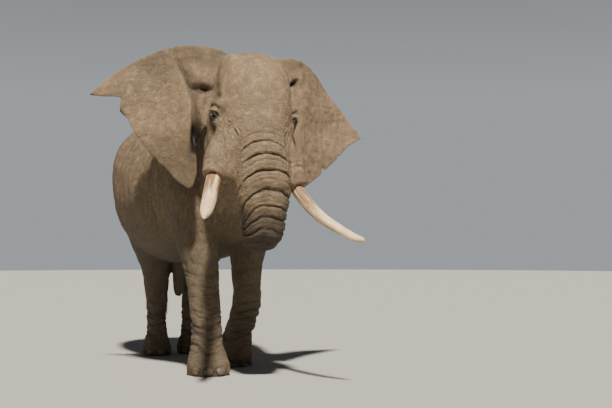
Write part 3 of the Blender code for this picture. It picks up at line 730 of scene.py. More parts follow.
# %% Fingers and nostrils
FINGERS = [(0.040, 0.048), (-0.040, 0.036)]             # place towards the outer side, and length
NOSTRILS_ASIDE, NOSTRIL_DEEP = (-0.026, 0.026), 0.045
at = in_head(world_points)
onward = heading[-1]
outer_side = np.cross([1.0, 0, 0], onward)
from_end = at - core[-1, :3]
past, across, thick = from_end @ onward, from_end[:, 0], from_end @ outer_side
end_face = column(skin.data, "trunk") * smooth_step(past, -0.045, -0.005)
end_face *= np.linalg.norm(from_end, axis=1) < 0.13
grow = np.zeros(len(at))
for place, long in FINGERS:
    grow += long * np.exp(-(across / 0.030) ** 2 - ((thick - place) / 0.020) ** 2)
for place in NOSTRILS_ASIDE:
    grow -= NOSTRIL_DEEP * np.exp(-((across - place) / 0.015) ** 4 - (thick / 0.017) ** 4)
grow *= end_face
world_points = from_head(at + grow[:, None] * onward)
put_points(skin.data, world_points)
print("trunk tip moved from", mm(grow.min()), "to", mm(grow.max()), "mm")

# %% [markdown]
# ## Folds of the trunk and face
# Deep rings cross the front of the trunk, and sag like garlands towards its sides. Between two deep rings
# the skin swells into a roll. Finer wrinkles run between them, and on the sides two slanting sets cross
# into a cobbled net.

# %% Profile of the rings
RINGS = [                # distance along the trunk, depth and half width in millimetres
    (0.43, 1.5, 6), (0.49, 2, 6), (0.545, 2, 6), (0.595, 2.5, 6), (0.655, 3.5, 7), (0.71, 11, 9),
    (0.755, 3, 6),
    (0.800, 22, 11), (0.862, 4, 7), (0.922, 25, 12), (0.985, 9, 9), (1.030, 4, 6), (1.072, 27, 13),
    (1.118, 5, 7), (1.165, 8, 9), (1.212, 4, 6), (1.256, 27, 13), (1.305, 5, 7), (1.345, 7, 8),
    (1.392, 20, 12), (1.432, 5, 7), (1.480, 20, 11), (1.525, 5, 8), (1.572, 15, 10), (1.622, 6, 8),
    (1.675, 13, 9), (1.730, 7, 8), (1.785, 11, 8), (1.835, 7, 7), (1.885, 9, 8), (1.930, 6, 6), (1.972, 7, 7),
    (2.012, 5, 6), (2.050, 6, 6), (2.085, 5, 5), (2.118, 5, 5), (2.150, 4, 5), (2.182, 4, 5), (2.212, 4, 5),
    (2.240, 3, 4),
]
DEEP_RING = 10           # millimetres
ruler = np.arange(0, TRUNK_END + 0.1, 0.001)
profile = np.zeros(len(ruler))


def add_rolls(profile, rings, rise):
    """Swells the skin between each ring and the next, by a share of the shallower one's depth."""
    for (place, depth, _), (after_place, after_depth, _) in zip(rings, rings[1:]):
        share = np.clip((ruler - place) / (after_place - place), 0, 1)
        profile += rise * min(depth, after_depth) * np.sin(np.pi * share) ** 0.7


for place, depth, half in RINGS:
    profile -= depth * np.exp(-np.abs((ruler - place) * 1000 / half) ** 1.6)
add_rolls(profile, RINGS, 0.25)
add_rolls(profile, [ring for ring in RINGS if ring[1] >= DEEP_RING], 0.45)
profile /= 1000
print(len(RINGS), "rings, the deepest", mm(-profile.min()), "mm")

# %% Trunk rings
at = in_head(world_points)
trunk = column(skin.data, "trunk")
face = column(skin.data, "face")
front_half = np.clip(trunk + face, 0, 1)
near = np.flatnonzero((front_half > 0.02) & (np.abs(at[:, 0]) < 0.66) & (at[:, 1] > -0.25))
spot = at[near]
along, turn, apart = trunk_measure(spot)
bow = 0.15 - 0.07 * np.sin(turn) * smooth_step(along, 0.95, 1.15)
sag = bow * np.minimum(1 - np.cos(turn), 1.15) * smooth_step(along, 1.95, 1.5)
wander = 0.010 * noise(np.column_stack([turn * 1.6, along * 5, turn * 0]), 61)
wander += 0.004 * noise(np.column_stack([turn * 6, along * 14, turn * 0]), 62)
ring_at = along - sag + wander
round_by = np.abs(turn)
hold = np.where(
    ring_at < 1.02,
    smooth_step(round_by, 1.30, 0.80) * smooth_step(ring_at, 0.36, 0.62),
    0.55 + 0.45 * smooth_step(round_by, 2.3, 1.5),
)
uneven = 0.8 + 0.35 * noise(np.column_stack([turn * 2.2, along * 9, turn * 0]), 63)
trunk_here = np.maximum(trunk[near], smooth_step(round_by, 1.3, 0.9) * smooth_step(spot[:, 1], 0.05, 0.2))
rings = np.interp(ring_at, ruler, profile) * hold * uneven * trunk_here

around = turn * np.maximum(apart, 0.12)
fine = valleys(ring_at / 0.021, around / 0.13, around * 0, 64)
side_on = smooth_step(round_by, 0.45, 0.95)
slant_a = valleys((ring_at + 0.62 * np.abs(around)) / 0.030, (ring_at - around) / 0.10, around * 0, 65)
slant_b = valleys((ring_at - 0.55 * np.abs(around)) / 0.034, (ring_at + around) / 0.10, around * 0, 66)
net = 0.0030 * fine * (1 - 0.4 * side_on)
net += 0.0042 * side_on * (slant_a + slant_b) * smooth_step(ring_at, 0.62, 0.8)
height = np.zeros(len(at))
height[near] = rings - net * trunk_here * smooth_step(ring_at, 0.45, 0.75)
print("trunk folds from", mm(height.min()), "to", mm(height.max()), "mm")

# %% [markdown]
# The face carries long slanting folds that start under the brow, pass in front of the eye and run down over
# the cheek to the tusk. The forehead is nearly smooth: dust, small bumps and a few level lines.

# %% Folds of the cheeks and lids
CHEEK_CREASES = [         # line beside the head, depth and width
    ([(0.341, 0.284, -0.047), (0.29, 0.36, -0.14), (0.237, 0.434, -0.237)], 0.012, 0.010),
    ([(0.315, 0.31, -0.02), (0.262, 0.39, -0.12), (0.21, 0.45, -0.20)], 0.007, 0.008),
    ([(0.375, 0.26, -0.08), (0.33, 0.33, -0.19), (0.285, 0.41, -0.30)], 0.007, 0.008),
]
INNER_CORNER = [
    (0.462, 0.095, -0.008), (0.448, 0.145, -0.016), (0.428, 0.190, -0.026), (0.395, 0.240, -0.055),
]
BROW_FOLD = [(0.43, -0.02, 0.040), (0.465, 0.06, 0.062), (0.455, 0.125, 0.058), (0.42, 0.185, 0.020)]
ARCHES = [(0.034, 0.014, 0.010), (0.100, 0.012, 0.017)]       # height over the eye, depth and width
BAGS = 4
side, ahead, up = at.T
for sign in (-1, 1):
    s = sign * side
    flow = s - 0.237 - 0.104 * smooth_step(up, -0.24, -0.05) + 0.05 * smooth_step(up, -0.35, -0.75)
    beside = smooth_step(s, 0.16, 0.26) * within(up, -0.78, -0.62, -0.02, 0.12)
    beside = beside * front_half * smooth_step(ahead, 0.0, 0.12)
    strands = valleys(flow / 0.030, up / 0.16, ahead * 3, 71 + sign, beside)
    small = valleys(flow / 0.017, up / 0.08, ahead * 5, 73 + sign, beside)
    height -= beside * (0.0060 * strands + 0.0024 * small) * smooth_step(s, 0.50, 0.36)
    for line, depth, width in CHEEK_CREASES:
        height += front_half * crease(at, beside_head(line, sign), depth, width)
    # a deep fold runs on from the inner corner, a thick one hangs over the eye, and loose bags lie under it
    height += front_half * crease(at, beside_head(INNER_CORNER, sign), 0.016, 0.010, lip=0.5)
    gap, along = line_gap(at, beside_head(BROW_FOLD, sign))
    height += front_half * within(along, 0, 0.2, 0.8, 1) * 0.016 * np.exp(-(gap / 0.016) ** 2)
    bent = at + 0.012 * np.column_stack([up * 0, up * 0, noise(at * 17, 84)])
    for lift, depth, width in ARCHES:
        arch = [(0.44, 0.0, lift - 0.014), (0.46, 0.07, lift + 0.004), (0.435, 0.145, lift),
                (0.39, 0.205, lift - 0.045)]
        height += front_half * crease(bent, beside_head(arch, sign), depth, width, lip=0.2)
    for k in range(BAGS):
        drop = -0.050 - 0.034 * k
        bag = [(0.465, 0.03, drop + 0.016), (0.47, 0.10, drop - 0.012),
               (0.44, 0.17 + 0.01 * k, drop - 0.014 - 0.01 * k), (0.39, 0.235, drop + 0.004 * k)]
        bent = at + 0.010 * np.column_stack([up * 0, up * 0, noise(at * 22, 80 + k)])
        height += front_half * crease(bent, beside_head(bag, sign), 0.0070 - 0.001 * k, 0.0075 + 0.001 * k)
print("with the cheeks and lids from", mm(height.min()), "to", mm(height.max()), "mm")

# %% Folds of the forehead, temples and jaw
forehead = front_half * smooth_step(up, -0.30, -0.10) * smooth_step(np.abs(side), 0.42, 0.30)
level = valleys(up / 0.026, side / 0.16, ahead * 2, 75, forehead)
height -= 0.0022 * forehead * level * smooth_step(up, 0.35, 0.05)
bumps = 0.0020 * noise(at / 0.026, 76, forehead) + 0.0030 * noise(at / 0.055, 77, forehead)
coarser = 1 + 1.3 * dome(at, (0.12, 0.2, 0.42), (0.16, 0.4, 0.16))
height += forehead * bumps * coarser * smooth_step(up, -0.05, 0.15)
temple = front_half * smooth_step(np.abs(side), 0.36, 0.46) * smooth_step(up, 0.02, 0.12)
height -= temple * 0.003 * valleys((side + 0.5 * up) / 0.03, up / 0.12, ahead / 0.05, 78, temple)
jaw = face * smooth_step(up, -0.45, -0.60) * smooth_step(ahead, 0.30, 0.15)
height -= jaw * 0.004 * valleys(ahead / 0.035, up / 0.11, side / 0.11, 79, jaw)
under_pit = within(np.abs(side), 0.42, 0.46, 0.56, 0.60) * (ahead > -0.4)
under_pit = under_pit * within(up, -0.02, 0.10, 0.27, 0.36) * (side < 0)
height -= 0.008 * under_pit * valleys(side / 0.024, up / 0.16, ahead * 0, 82, under_pit)
print("forehead bumps up to", round(float((forehead * np.abs(bumps)).max() * 1000), 1), "mm")

# %% [markdown]
# Each tusk leaves its sheath through a thick collar of lip. The collar is drawn as rings round the place
# where the tusk comes out, and its inner part is pulled a little way down the tusk.

# %% Lips round the tusks
TUSK_EXIT = {"tusk_right": (-0.50, 0.40, -0.655), "tusk_left": (0.44, 0.47, -0.615)}
COLLAR_REACH = {"tusk_right": 0.055, "tusk_left": 0.015}     # how much further the lip creeps down its tusk
COLLAR_RINGS = [          # radius, half width and rise
    (0.105, 0.022, 0.009), (0.145, 0.014, -0.007), (0.19, 0.012, -0.004),
]
for name, exit_at in TUSK_EXIT.items():
    gap = np.linalg.norm(at - np.array(exit_at), axis=1)
    tusk_low, tusk_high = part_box(name)
    tip_x = tusk_low.x if name == "tusk_right" else tusk_high.x
    tip_at = in_head(np.array([[tip_x * 0.93, tusk_low.y, tusk_low.z]]))[0]
    way = (tip_at - np.array(exit_at)) / np.linalg.norm(tip_at - np.array(exit_at))
    creep = COLLAR_REACH[name] * np.exp(-(gap / 0.14) ** 4) * front_half * (1 - trunk)
    world_points = world_points + (creep[:, None] * way) @ HEAD_AXES
    roll = sum(rise * np.exp(-((gap - radius) / half) ** 2) for radius, half, rise in COLLAR_RINGS)
    height += roll * front_half * (1 - trunk) * (1 + 0.5 * noise(at / 0.05, 81, creep * 20))
    print(name, "lip creeps", mm(creep.max()), "mm down it")

# %% [markdown]
# ## Folds of the ears, body and legs
# The ear blades are lined with shallow level wrinkles and a few veins. The flanks hang in fine upright lines,
# which lean back towards the hips. The legs are ringed where they bend.

# %% Ear folds
ear = column(skin.data, "ear")
blade = ear * smooth_step(np.abs(side), 0.55, 0.75)
streak = valleys(up / 0.050, side / 0.22, ahead * 2, 91, blade)
streak += 0.6 * valleys((up - 0.3 * side) / 0.032, side / 0.12, ahead, 92, blade)
height -= blade * 0.0040 * streak
height += blade * (0.0030 * noise(at / 0.085, 93, blade) + 0.0016 * noise(at / 0.035, 94, blade))
print("ear blades lined over", int((streak * blade > 0.2).sum()), "points")

# %% Body folds
SHOULDER_LINE = ([1.5, 1.9, 2.3, 2.7], [0.24, 0.30, 0.26, 0.16])      # heights, and how far back there
SHOULDER_FOLDS = [(0.0, 0.010), (0.075, 0.006), (0.19, 0.005)]        # how far behind that line, and depth
x, y, z = world_points.T
body = column(skin.data, "body")
leg = column(skin.data, "leg")
tail = column(skin.data, "tail")
outward = normals_of(skin.data)
sideways = smooth_step(np.abs(outward[:, 0]), 0.45, 0.8)
lean = y + 0.70 * (z - 2.3) * smooth_step(y, 0.1, 1.2) * sideways
hang = valleys(lean / 0.060, z / 0.34, x / 0.080, 101, body)
hang += 0.6 * valleys((lean + 0.15 * z) / 0.040, z / 0.20, x / 0.06, 102, body)
cross = valleys(z / 0.070, lean / 0.14, x / 0.14, 103, body)
steep = smooth_step(np.abs(outward[:, 2]), 0.95, 0.70)
height -= body * (0.0046 * hang * (0.15 + 0.85 * steep) + 0.0030 * cross * (0.4 + 0.6 * steep))
shoulder = body * within(z, 1.45, 1.8, 2.4, 2.75) * smooth_step(np.abs(x), 0.45, 0.6)
for k, (behind, depth) in enumerate(SHOULDER_FOLDS):
    gap = y - np.interp(z, *SHOULDER_LINE) - behind
    gap = gap - 0.030 * noise(world_points * np.array([2, 2, 3.3]), 104 + k, body)
    patchy = smooth_step(noise(world_points * 2.3, 107 + k, body), -0.35, 0.25)
    height -= shoulder * patchy * depth * np.exp(-(gap / 0.017) ** 2)
print("body folds over", int((body > 0.5).sum()), "points")

# %% [markdown]
# Fine level lines ring the legs, with deep ones at the ankles. The bent left knee gathers its skin into rolls
# across the front, upright lines run down the thighs, and the hide over the feet cracks into cobbles.

# %% Leg folds
KNEE_ROLLS = [(0.78, 0.010), (0.69, 0.016), (0.60, 0.018), (0.52, 0.014), (0.45, 0.010)]    # height and depth
swing = noise(np.column_stack([x * 5, y * 5, z * 3]), 111, leg) * 0.020
front = np.clip(-outward[:, 1], -1, 1)
drape = z + swing + 0.035 * front
level_fine = valleys(drape / 0.034, x / 0.13, y / 0.13, 112, leg)
level_big = valleys(drape / 0.058, x / 0.30, y / 0.30, 113, leg)
ankle = within(z, 0.20, 0.28, 0.58, 0.78)
knee = within(z, 0.75, 0.9, 1.15, 1.35)
height -= leg * level_fine * 0.0042 * (0.45 + ankle)
height -= leg * level_big * (0.0150 * ankle + 0.0060 * knee + 0.002)
bent_knee = leg * smooth_step(x, -0.05, 0.05) * smooth_step(y, 0.9, 0.5) * np.clip(front * 1.3, 0, 1)
droop = z + 1.1 * (x - 0.30) ** 2 - 0.02 * noise(world_points * 6, 117, bent_knee)
for place, depth in KNEE_ROLLS:
    height -= bent_knee * depth * np.exp(-((droop - place) / 0.012) ** 2)
    height += bent_knee * 0.45 * depth * np.exp(-((droop - place - 0.04) / 0.03) ** 2)
drop_lines = valleys(x / 0.045, z / 0.28, y / 0.045, 114, leg)
height -= leg * drop_lines * 0.0045 * smooth_step(z, 0.7, 1.1)
cobble = valleys((x + z) / 0.03, (z - x) / 0.03, y / 0.03, 115, leg * (z < 0.55))
height -= leg * cobble * 0.0020 * smooth_step(z, 0.5, 0.3)
height -= tail * 0.003 * valleys(z / 0.03, x / 0.05, y / 0.05, 116, tail)
print("deepest leg fold", mm(-(height * leg).min()), "mm")

# %% Toes
TOE_RISE, TOE_HALF = 0.016, 0.062
NAIL_GROOVE, NAIL_HALF = 0.010, 0.050     # the hide dips round each nail, this far from its middle
for name in nodes:
    if not name.startswith("nail"):
        continue
    centre = np.array(middle_of(name))
    over = (world_points - centre - np.array([0, 0, 0.03])) * np.array([1, 1, 0.75])
    height += leg * TOE_RISE * np.exp(-(np.linalg.norm(over, axis=1) / TOE_HALF) ** 2)
    beside_nail = np.linalg.norm(world_points - centre, axis=1) - NAIL_HALF
    height -= leg * NAIL_GROOVE * np.exp(-(beside_nail / 0.010) ** 2)
print("toes raised by", mm(TOE_RISE), "mm")

# %% Push the folds into the skin
ground = smooth_step(z, 0.004, 0.035)
height = np.clip(height, -0.045, 0.035) * ground
world_points = world_points + normals_of(skin.data) * height[:, None]
world_points[:, 2] = np.maximum(world_points[:, 2], 0)
put_points(skin.data, world_points)
keep_column(skin.data, "fold", np.minimum(height, 0) * 100)
print("folds from", mm(height.min()), "to", mm(height.max()), "mm")

# %% [markdown]
# The refined skin has far more faces than its broad, quiet parts need. Collapsing its edges thins it, and a
# group of weights spares the head and trunk, where the finest folds are.

# %% Finish: thin the skin to its working size
SKIN_TRIANGLES = 196000
at = in_head(points_of(skin.data))
keep = 0.9 * smooth_step(at[:, 1], -0.5, -0.1) * smooth_step(at[:, 2], -1.5, -1.2)
group = skin.vertex_groups.new(name="keep")
levels = np.round(keep, 1)
for level in np.unique(levels):
    group.add(np.flatnonzero(levels == level).tolist(), float(level), "REPLACE")
thin = skin.modifiers.new("thin", "DECIMATE")
thin.ratio = SKIN_TRIANGLES / (2 * len(skin.data.polygons))
thin.vertex_group = "keep"
thin.invert_vertex_group = True
thin.vertex_group_factor = 0.0001
thin.use_collapse_triangulate = True
apply_all(skin)
skin.vertex_groups.clear()
skin.data.shade_smooth()
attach(skin, "root")
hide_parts(*FLESH)
print("skin:", len(skin.data.polygons), "triangles")

# %% [markdown]
# ## What the hide's colour follows
# Dust and light catch the ridges of a hide, and dirt and shade gather in its creases. The finished mesh is
# measured for this: how hollow it is at each point, how deep the fold is there, and which way the wrinkles
# run. The numbers are stored on the points, where the material can read them.

# %% Attributes for the hide
world_points = points_of(skin.data)
out = normals_of(skin.data)
at = in_head(world_points)
side, ahead, up = at.T
x, y, z = world_points.T
edges = edges_of(skin.data)
ends = np.concatenate([edges[:, 0], edges[:, 1]])
others = np.concatenate([edges[:, 1], edges[:, 0]])
count = np.maximum(np.bincount(ends, minlength=len(x)), 1)
lean_out = np.zeros(len(x))
spans = np.linalg.norm(world_points[others] - world_points[ends], axis=1)
span = np.bincount(ends, weights=spans, minlength=len(x)) / count
for k in range(3):
    neighbours = np.bincount(ends, weights=world_points[others, k], minlength=len(x)) / count
    lean_out += out[:, k] * (neighbours - world_points[:, k])
hollow = spread(lean_out / span ** 2, edges, 2)
keep_column(skin.data, "hollow", np.clip(hollow / 25, -1, 1))
low_end, high_end = np.percentile(hollow, (1, 99))
print("hollow from", round(float(low_end), 1), "to", round(float(high_end), 1), "per m")

trunk = column(skin.data, "trunk")
face = column(skin.data, "face")
ear = column(skin.data, "ear")
body = column(skin.data, "body")
leg = column(skin.data, "leg")
front_half = np.clip(trunk + face, 0, 1)
near = np.flatnonzero((front_half > 0.02) & (np.abs(side) < 0.66) & (ahead > -0.25))
along, turn, apart = trunk_measure(at[near])
level = z.copy()
share = trunk[near] * smooth_step(along, 0.7, 1.1)
level[near] = level[near] * (1 - share) + (2.9 - along + 0.1 * (1 - np.cos(turn))) * share
keep_column(skin.data, "level", level)
cheek = face * smooth_step(np.abs(side), 0.22, 0.30) * smooth_step(up, 0.10, -0.02)
cheek = cheek * smooth_step(ahead, 0.0, 0.1)
upright = np.clip(body + 0.8 * cheek + 0.8 * leg * smooth_step(z, 0.9, 1.3), 0, 1)
keep_column(skin.data, "upright", upright * smooth_step(np.abs(out[:, 2]), 0.9, 0.6))
brow_part = face * smooth_step(up, -0.16, 0.06) * smooth_step(ahead, -0.45, -0.15)
lined = 0.75 + 0.25 * trunk - 0.55 * ear - 0.50 * brow_part + 0.15 * leg * smooth_step(z, 0.9, 0.6)
keep_column(skin.data, "lined", np.clip(lined + 0.25 * cheek, 0.1, 1))
# Painted light on the left ear, which is made paler, and lighter patches on the middle of the right ear, the
# cheeks and the forehead.
pale = 0.75 * ear * smooth_step(side, 0.35, 0.6) + 0.45 * dome(at, (-1.0, -0.35, 0.12), (0.30, 0.40, 0.14))
pale += 0.35 * cheek + 0.30 * dome(at, (0.05, 0.2, 0.25), (0.2, 0.3, 0.2))
keep_column(skin.data, "pale", np.clip(pale, 0, 1))

# %% [markdown]
# Some places are painted darker. The wet track under each eye is a real stain, and each eye's socket is a
# stain with painted shade. The pits at the ear roots, the gap behind the right cheek, the neck behind it, the
# lower lobe of the right ear, the tops of both ears, the torn tip and turned margin of the right ear, the lower
# trunk and its underside, the belly and the insides of the legs are painted shade. They are painted as soft
# patches into one more number.

# %% Dark patches
EYE_SHADE = [             # share, place beside the head and radii, the same on both sides
    (2.00, (0.452, 0.120, -0.012), (0.070, 0.070, 0.040)),        # socket
    (0.60, (0.44, 0.19, 0.035), (0.06, 0.05, 0.05)),              # over the inner corner
    (0.75, (0.470, 0.09, -0.10), (0.05, 0.055, 0.085)),           # wet track
    (1.30, (0.450, 0.13, -0.150), (0.045, 0.050, 0.040)),         # pocket under the bags
    (0.85, (0.45, 0.10, 0.125), (0.06, 0.09, 0.030)),             # over the brow
    (0.40, (0.44, 0.17, -0.16), (0.05, 0.05, 0.05)),
    (-1.10, (0.46, 0.10, 0.066), (0.06, 0.08, 0.018)),            # the fold over the eye stays light
]
EAR_SHADE = [             # share, place and radii, each on its own side
    (0.85, (-0.510, -0.22, 0.290), (0.100, 0.14, 0.066)),         # right pit
    (0.85, (0.510, -0.22, 0.45), (0.050, 0.12, 0.060)),           # left pit
    (1.1, (-0.525, -0.20, -0.22), (0.055, 0.14, 0.19)),           # between the right ear and the cheek
    (0.9, (-0.565, -0.27, -0.27), (0.045, 0.16, 0.12)),
    (1.2, (-0.590, -0.34, -0.18), (0.060, 0.075, 0.14)),
]
NECK_SHADE = [(0.75, (-0.52, -0.60, -0.45), (0.20, 0.40, 0.42))]
# Painted shade on the torn, folded tip of the right ear and along its turned margin.
SHADED_TORN_TIP = [(0.9, (-1.600, -0.14, 3.085), (0.050, 0.12, 0.022))]                      # in the world
TURNED_MARGIN = [(-1.345, -0.31, 2.985), (-1.315, -0.335, 2.915), (-1.275, -0.37, 2.845)]
dark = domes(at, EYE_SHADE, -1) + domes(at, EYE_SHADE, 1) + domes(at, EAR_SHADE)
dark += body * (1 - ear) * domes(at, NECK_SHADE)
# Painted shade on the lower lobe of the right ear and on the tops of the ears.
dark += 0.26 * ear * smooth_step(up, -0.10, -0.50) * (side < 0)
dark += 0.28 * ear * smooth_step(up, 0.36, 0.62) * (ahead < 0)
# Painted shade on the right ear's torn tip and turned margin.
dark += ear * domes(world_points, SHADED_TORN_TIP)
dark += ear * np.exp(-(line_gap(world_points, TURNED_MARGIN)[0] / 0.020) ** 2)
# Painted shade along the root of the right ear.
gap, run = line_gap(at * FROM_AHEAD, np.array(EAR_ROOT) * FROM_AHEAD)
dark += 0.75 * np.exp(-(gap / 0.026) ** 2) * smooth_step(run, 0.05, 0.35) * (side < 0)
# Painted shade on the faces of the trunk that look down, on its lower part, and on the lower body and legs
# where they face down.
dark += trunk * smooth_step(-out[:, 2], 0.35, 0.9) * 0.35
dark[near] += trunk[near] * smooth_step(along + 0.03 * noise(at[near] * 12, 141), 1.36, 1.50) * 0.62
dark += 0.45 * (body + leg) * smooth_step(z, 2.1, 1.3) * smooth_step(-out[:, 2], -0.2, 0.5)
keep_column(skin.data, "dark", np.clip(dark, 0, 1))
print("darkened by half or more at", int((dark > 0.5).sum()), "points")

# %% [markdown]
# ## Materials in nodes
# Every finish below is a small network of procedural nodes. A helper adds a node and joins its inputs, so
# that each material reads as a list of layers. A bump works in metres, as the real relief would.

# %% Node helpers


def new_material(name):
    """A material with nodes, and its main shader."""
    finish = bpy.data.materials.new(name)
    finish.use_nodes = True
    return finish, finish.node_tree, finish.node_tree.nodes["Principled BSDF"]


def feed(tree, socket, value):
    """Links another node's socket to this one, or sets it to a number or a colour."""
    if isinstance(value, bpy.types.NodeSocket):
        tree.links.new(value, socket)
    elif socket.type == "RGBA":
        socket.default_value = (*value, 1.0)
    else:
        socket.default_value = value


def add(tree, kind, settings=None, **inputs):
    """Adds a node. Inputs are values or the sockets of other nodes."""
    made = tree.nodes.new("ShaderNode" + kind)
    for key, value in (settings or {}).items():
        setattr(made, key, value)
    for key, value in inputs.items():
        numbered = key[0] == "i" and key[1:].isdigit()
        feed(tree, made.inputs[int(key[1:]) if numbered else key], value)
    return made


def maths(tree, operation, first, second=0.0, clamp=False):
    return add(tree, "Math", {"operation": operation, "use_clamp": clamp}, i0=first, i1=second).outputs[0]


def times(tree, first, second, clamp=False):
    return maths(tree, "MULTIPLY", first, second, clamp)


def plus(tree, first, second):
    return maths(tree, "ADD", first, second)


def rest_of(tree, value):
    """What is left of 1."""
    return maths(tree, "SUBTRACT", 1.0, value)


def from_middle(tree, value, middle=0.5):
    """How far a value lies from a middle one."""
    return maths(tree, "ABSOLUTE", maths(tree, "SUBTRACT", value, middle))


def between(tree, value, low, high, to_low=0.0, to_high=1.0):
    """Maps a value between two limits, without passing them."""
    made = add(tree, "MapRange", {"clamp": True}, i0=value)
    for k, limit in enumerate((low, high, to_low, to_high)):
        made.inputs[k + 1].default_value = limit
    return made.outputs[0]


def blend_colour(tree, share, first, second):
    """Mixes two colours by a share."""
    made = add(tree, "Mix", {"data_type": "RGBA", "blend_type": "MIX"}, i0=share)
    feed(tree, made.inputs[6], first)
    feed(tree, made.inputs[7], second)
    return made.outputs[2]


def tinted(tree, colour, layers):
    """Lays tints over a colour. A layer is a value, the two limits between which its tint comes in, the share
    it reaches and the tint."""
    for value, low, high, share, tint in layers:
        colour = blend_colour(tree, between(tree, value, low, high, 0.0, share), colour, tint)
    return colour


def noise_at(tree, place, scale, detail=4.0, rough=0.55, warp=0.0):
    made = add(
        tree, "TexNoise", None, Vector=place, Scale=scale, Detail=detail, Roughness=rough, Distortion=warp
    )
    return made.outputs[0]


def attribute(tree, name):
    return add(tree, "Attribute", {"attribute_name": name}).outputs["Fac"]


def stretched(tree, place, scales):
    """Scales a place along each axis, so that a pattern on it is drawn out."""
    made = add(tree, "Mapping", None, Vector=place)
    made.inputs["Scale"].default_value = scales
    return made.outputs[0]


def vector_of(tree, a, b, c):
    return add(tree, "CombineXYZ", None, X=a, Y=b, Z=c).outputs[0]


def finish_with(tree, shader, colour, relief, strength, rough):
    """Gives the shader its colour, its relief in metres and its roughness."""
    bump = add(tree, "Bump", None, Height=relief, Strength=strength, Distance=1.0)
    feed(tree, shader.inputs["Base Color"], colour)
    feed(tree, shader.inputs["Normal"], bump.outputs[0])
    feed(tree, shader.inputs["Roughness"], rough)

# %% [markdown]
# ## The hide
# A bull's hide is grey-brown under the tan dust it throws over itself. The colour is laid on in steps: broad
# stains, blotches and mottling come first, then worn, dusty ridges with a painted highlight, dirt and painted
# shade in the folds and low on the body, and last the dark patches, mostly painted shade. Hide hardly shines.

# %% Colour of the hide
hide, tree, shader = new_material("hide")
place = add(tree, "TexCoord").outputs["Object"]
height_here = add(tree, "SeparateXYZ", None, Vector=place).outputs["Z"]
hollow_here, fold_here, level_here, upright_here, dark_here, lined_here, pale_here = (
    attribute(tree, name) for name in ("hollow", "fold", "level", "upright", "dark", "lined", "pale"))

# The darkest tint serves the grain, and as dirt with painted shade the hollows, folds and wrinkle lines. The
# ridge tint is dust with a painted highlight, the low tint is dirt with painted shade, and the last one is
# painted shade.
DUST, BARE, DARK_DIRT_AND_SHADE = (0.320, 0.220, 0.130), (0.180, 0.136, 0.090), (0.042, 0.032, 0.023)
DARK_BLOTCH, PALE_BLOTCH, PALE_SPOT = (0.120, 0.088, 0.062), (0.46, 0.32, 0.200), (0.43, 0.30, 0.187)
PALE_SKIN_AND_LIGHT, WORN_AND_LIT_RIDGE = (0.47, 0.325, 0.205), (0.42, 0.295, 0.19)
LOW_DIRT_AND_SHADE, SHADE = (0.088, 0.074, 0.054), (0.016, 0.013, 0.011)
stains = noise_at(tree, place, 1.7, 5.0, 0.6, 0.4)
mottle = noise_at(tree, place, 11.0, 6.0, 0.65, 0.3)
grain = noise_at(tree, place, 85.0, 3.0, 0.6)
blotch = noise_at(tree, place, 27.0, 4.0, 0.7, 0.6)
colour = blend_colour(tree, between(tree, stains, 0.38, 0.62, 0.15, 0.85), DUST, BARE)
colour = tinted(tree, colour, [
    (blotch, 0.51, 0.68, 0.70, DARK_BLOTCH),
    (blotch, 0.47, 0.32, 0.55, PALE_BLOTCH),
])
# The pale patches: painted light on the left ear, lighter skin elsewhere.
colour = blend_colour(tree, times(tree, pale_here, 0.65), colour, PALE_SKIN_AND_LIGHT)
# Lighter ridges are dust with a painted highlight. Darker hollows and folds are dirt with painted shade, and so
# is the darkening low on the body.
colour = tinted(tree, colour, [
    (mottle, 0.42, 0.66, 0.80, BARE),
    (mottle, 0.46, 0.30, 0.55, PALE_SPOT),
    (grain, 0.40, 0.75, 0.30, DARK_DIRT_AND_SHADE),
    (hollow_here, -0.05, -0.6, 0.45, WORN_AND_LIT_RIDGE),
    (hollow_here, 0.08, 0.85, 0.80, DARK_DIRT_AND_SHADE),
    (fold_here, -0.45, -1.7, 0.85, DARK_DIRT_AND_SHADE),
    (height_here, 2.5, 1.3, 0.66, LOW_DIRT_AND_SHADE),
])
patchy = times(tree, dark_here, between(tree, mottle, 0.25, 0.6, 1.25, 0.85), True)
colour = blend_colour(tree, patchy, colour, SHADE)
print("colour of the hide:", len(tree.nodes), "nodes")

# %% [markdown]
# The wrinkle lines are noise drawn out along the way the wrinkles run. The place they are read at is
# shifted a little by another noise, so that no line is straight. The lines run level where a part bends, as
# on the trunk and ankles, and upright where the hide hangs. A net of cracks, a fine grain and soft lumps add
# to the relief.

# %% Wrinkles and relief of the hide
wobble = add(tree, "TexNoise", None, Vector=place, Scale=6.0, Detail=2.0)
shifted = add(tree, "VectorMath", {"operation": "MULTIPLY_ADD"},
              i0=wobble.outputs["Color"], i1=(0.05, 0.05, 0.05), i2=place).outputs[0]
shifted_xyz = add(tree, "SeparateXYZ", None, Vector=shifted)
shifted_x, shifted_y, shifted_z = (shifted_xyz.outputs[axis] for axis in "XYZ")
wave_level = plus(tree, level_here, times(tree, wobble.outputs[0], 0.06))
level_place = vector_of(tree, times(tree, shifted_x, 7.0), times(tree, shifted_y, 7.0),
                        times(tree, wave_level, 46.0))
leaning = plus(tree, shifted_y, times(tree, height_here, 0.5))
upright_place = vector_of(tree, times(tree, shifted_x, 34.0), times(tree, leaning, 34.0),
                          times(tree, shifted_z, 5.0))


def thin_lines(tree, lines_place):
    """Dark valleys where a noise crosses its middle."""
    return between(tree, from_middle(tree, noise_at(tree, lines_place, 1.0, 2.5, 0.6)), 0.0, 0.075)


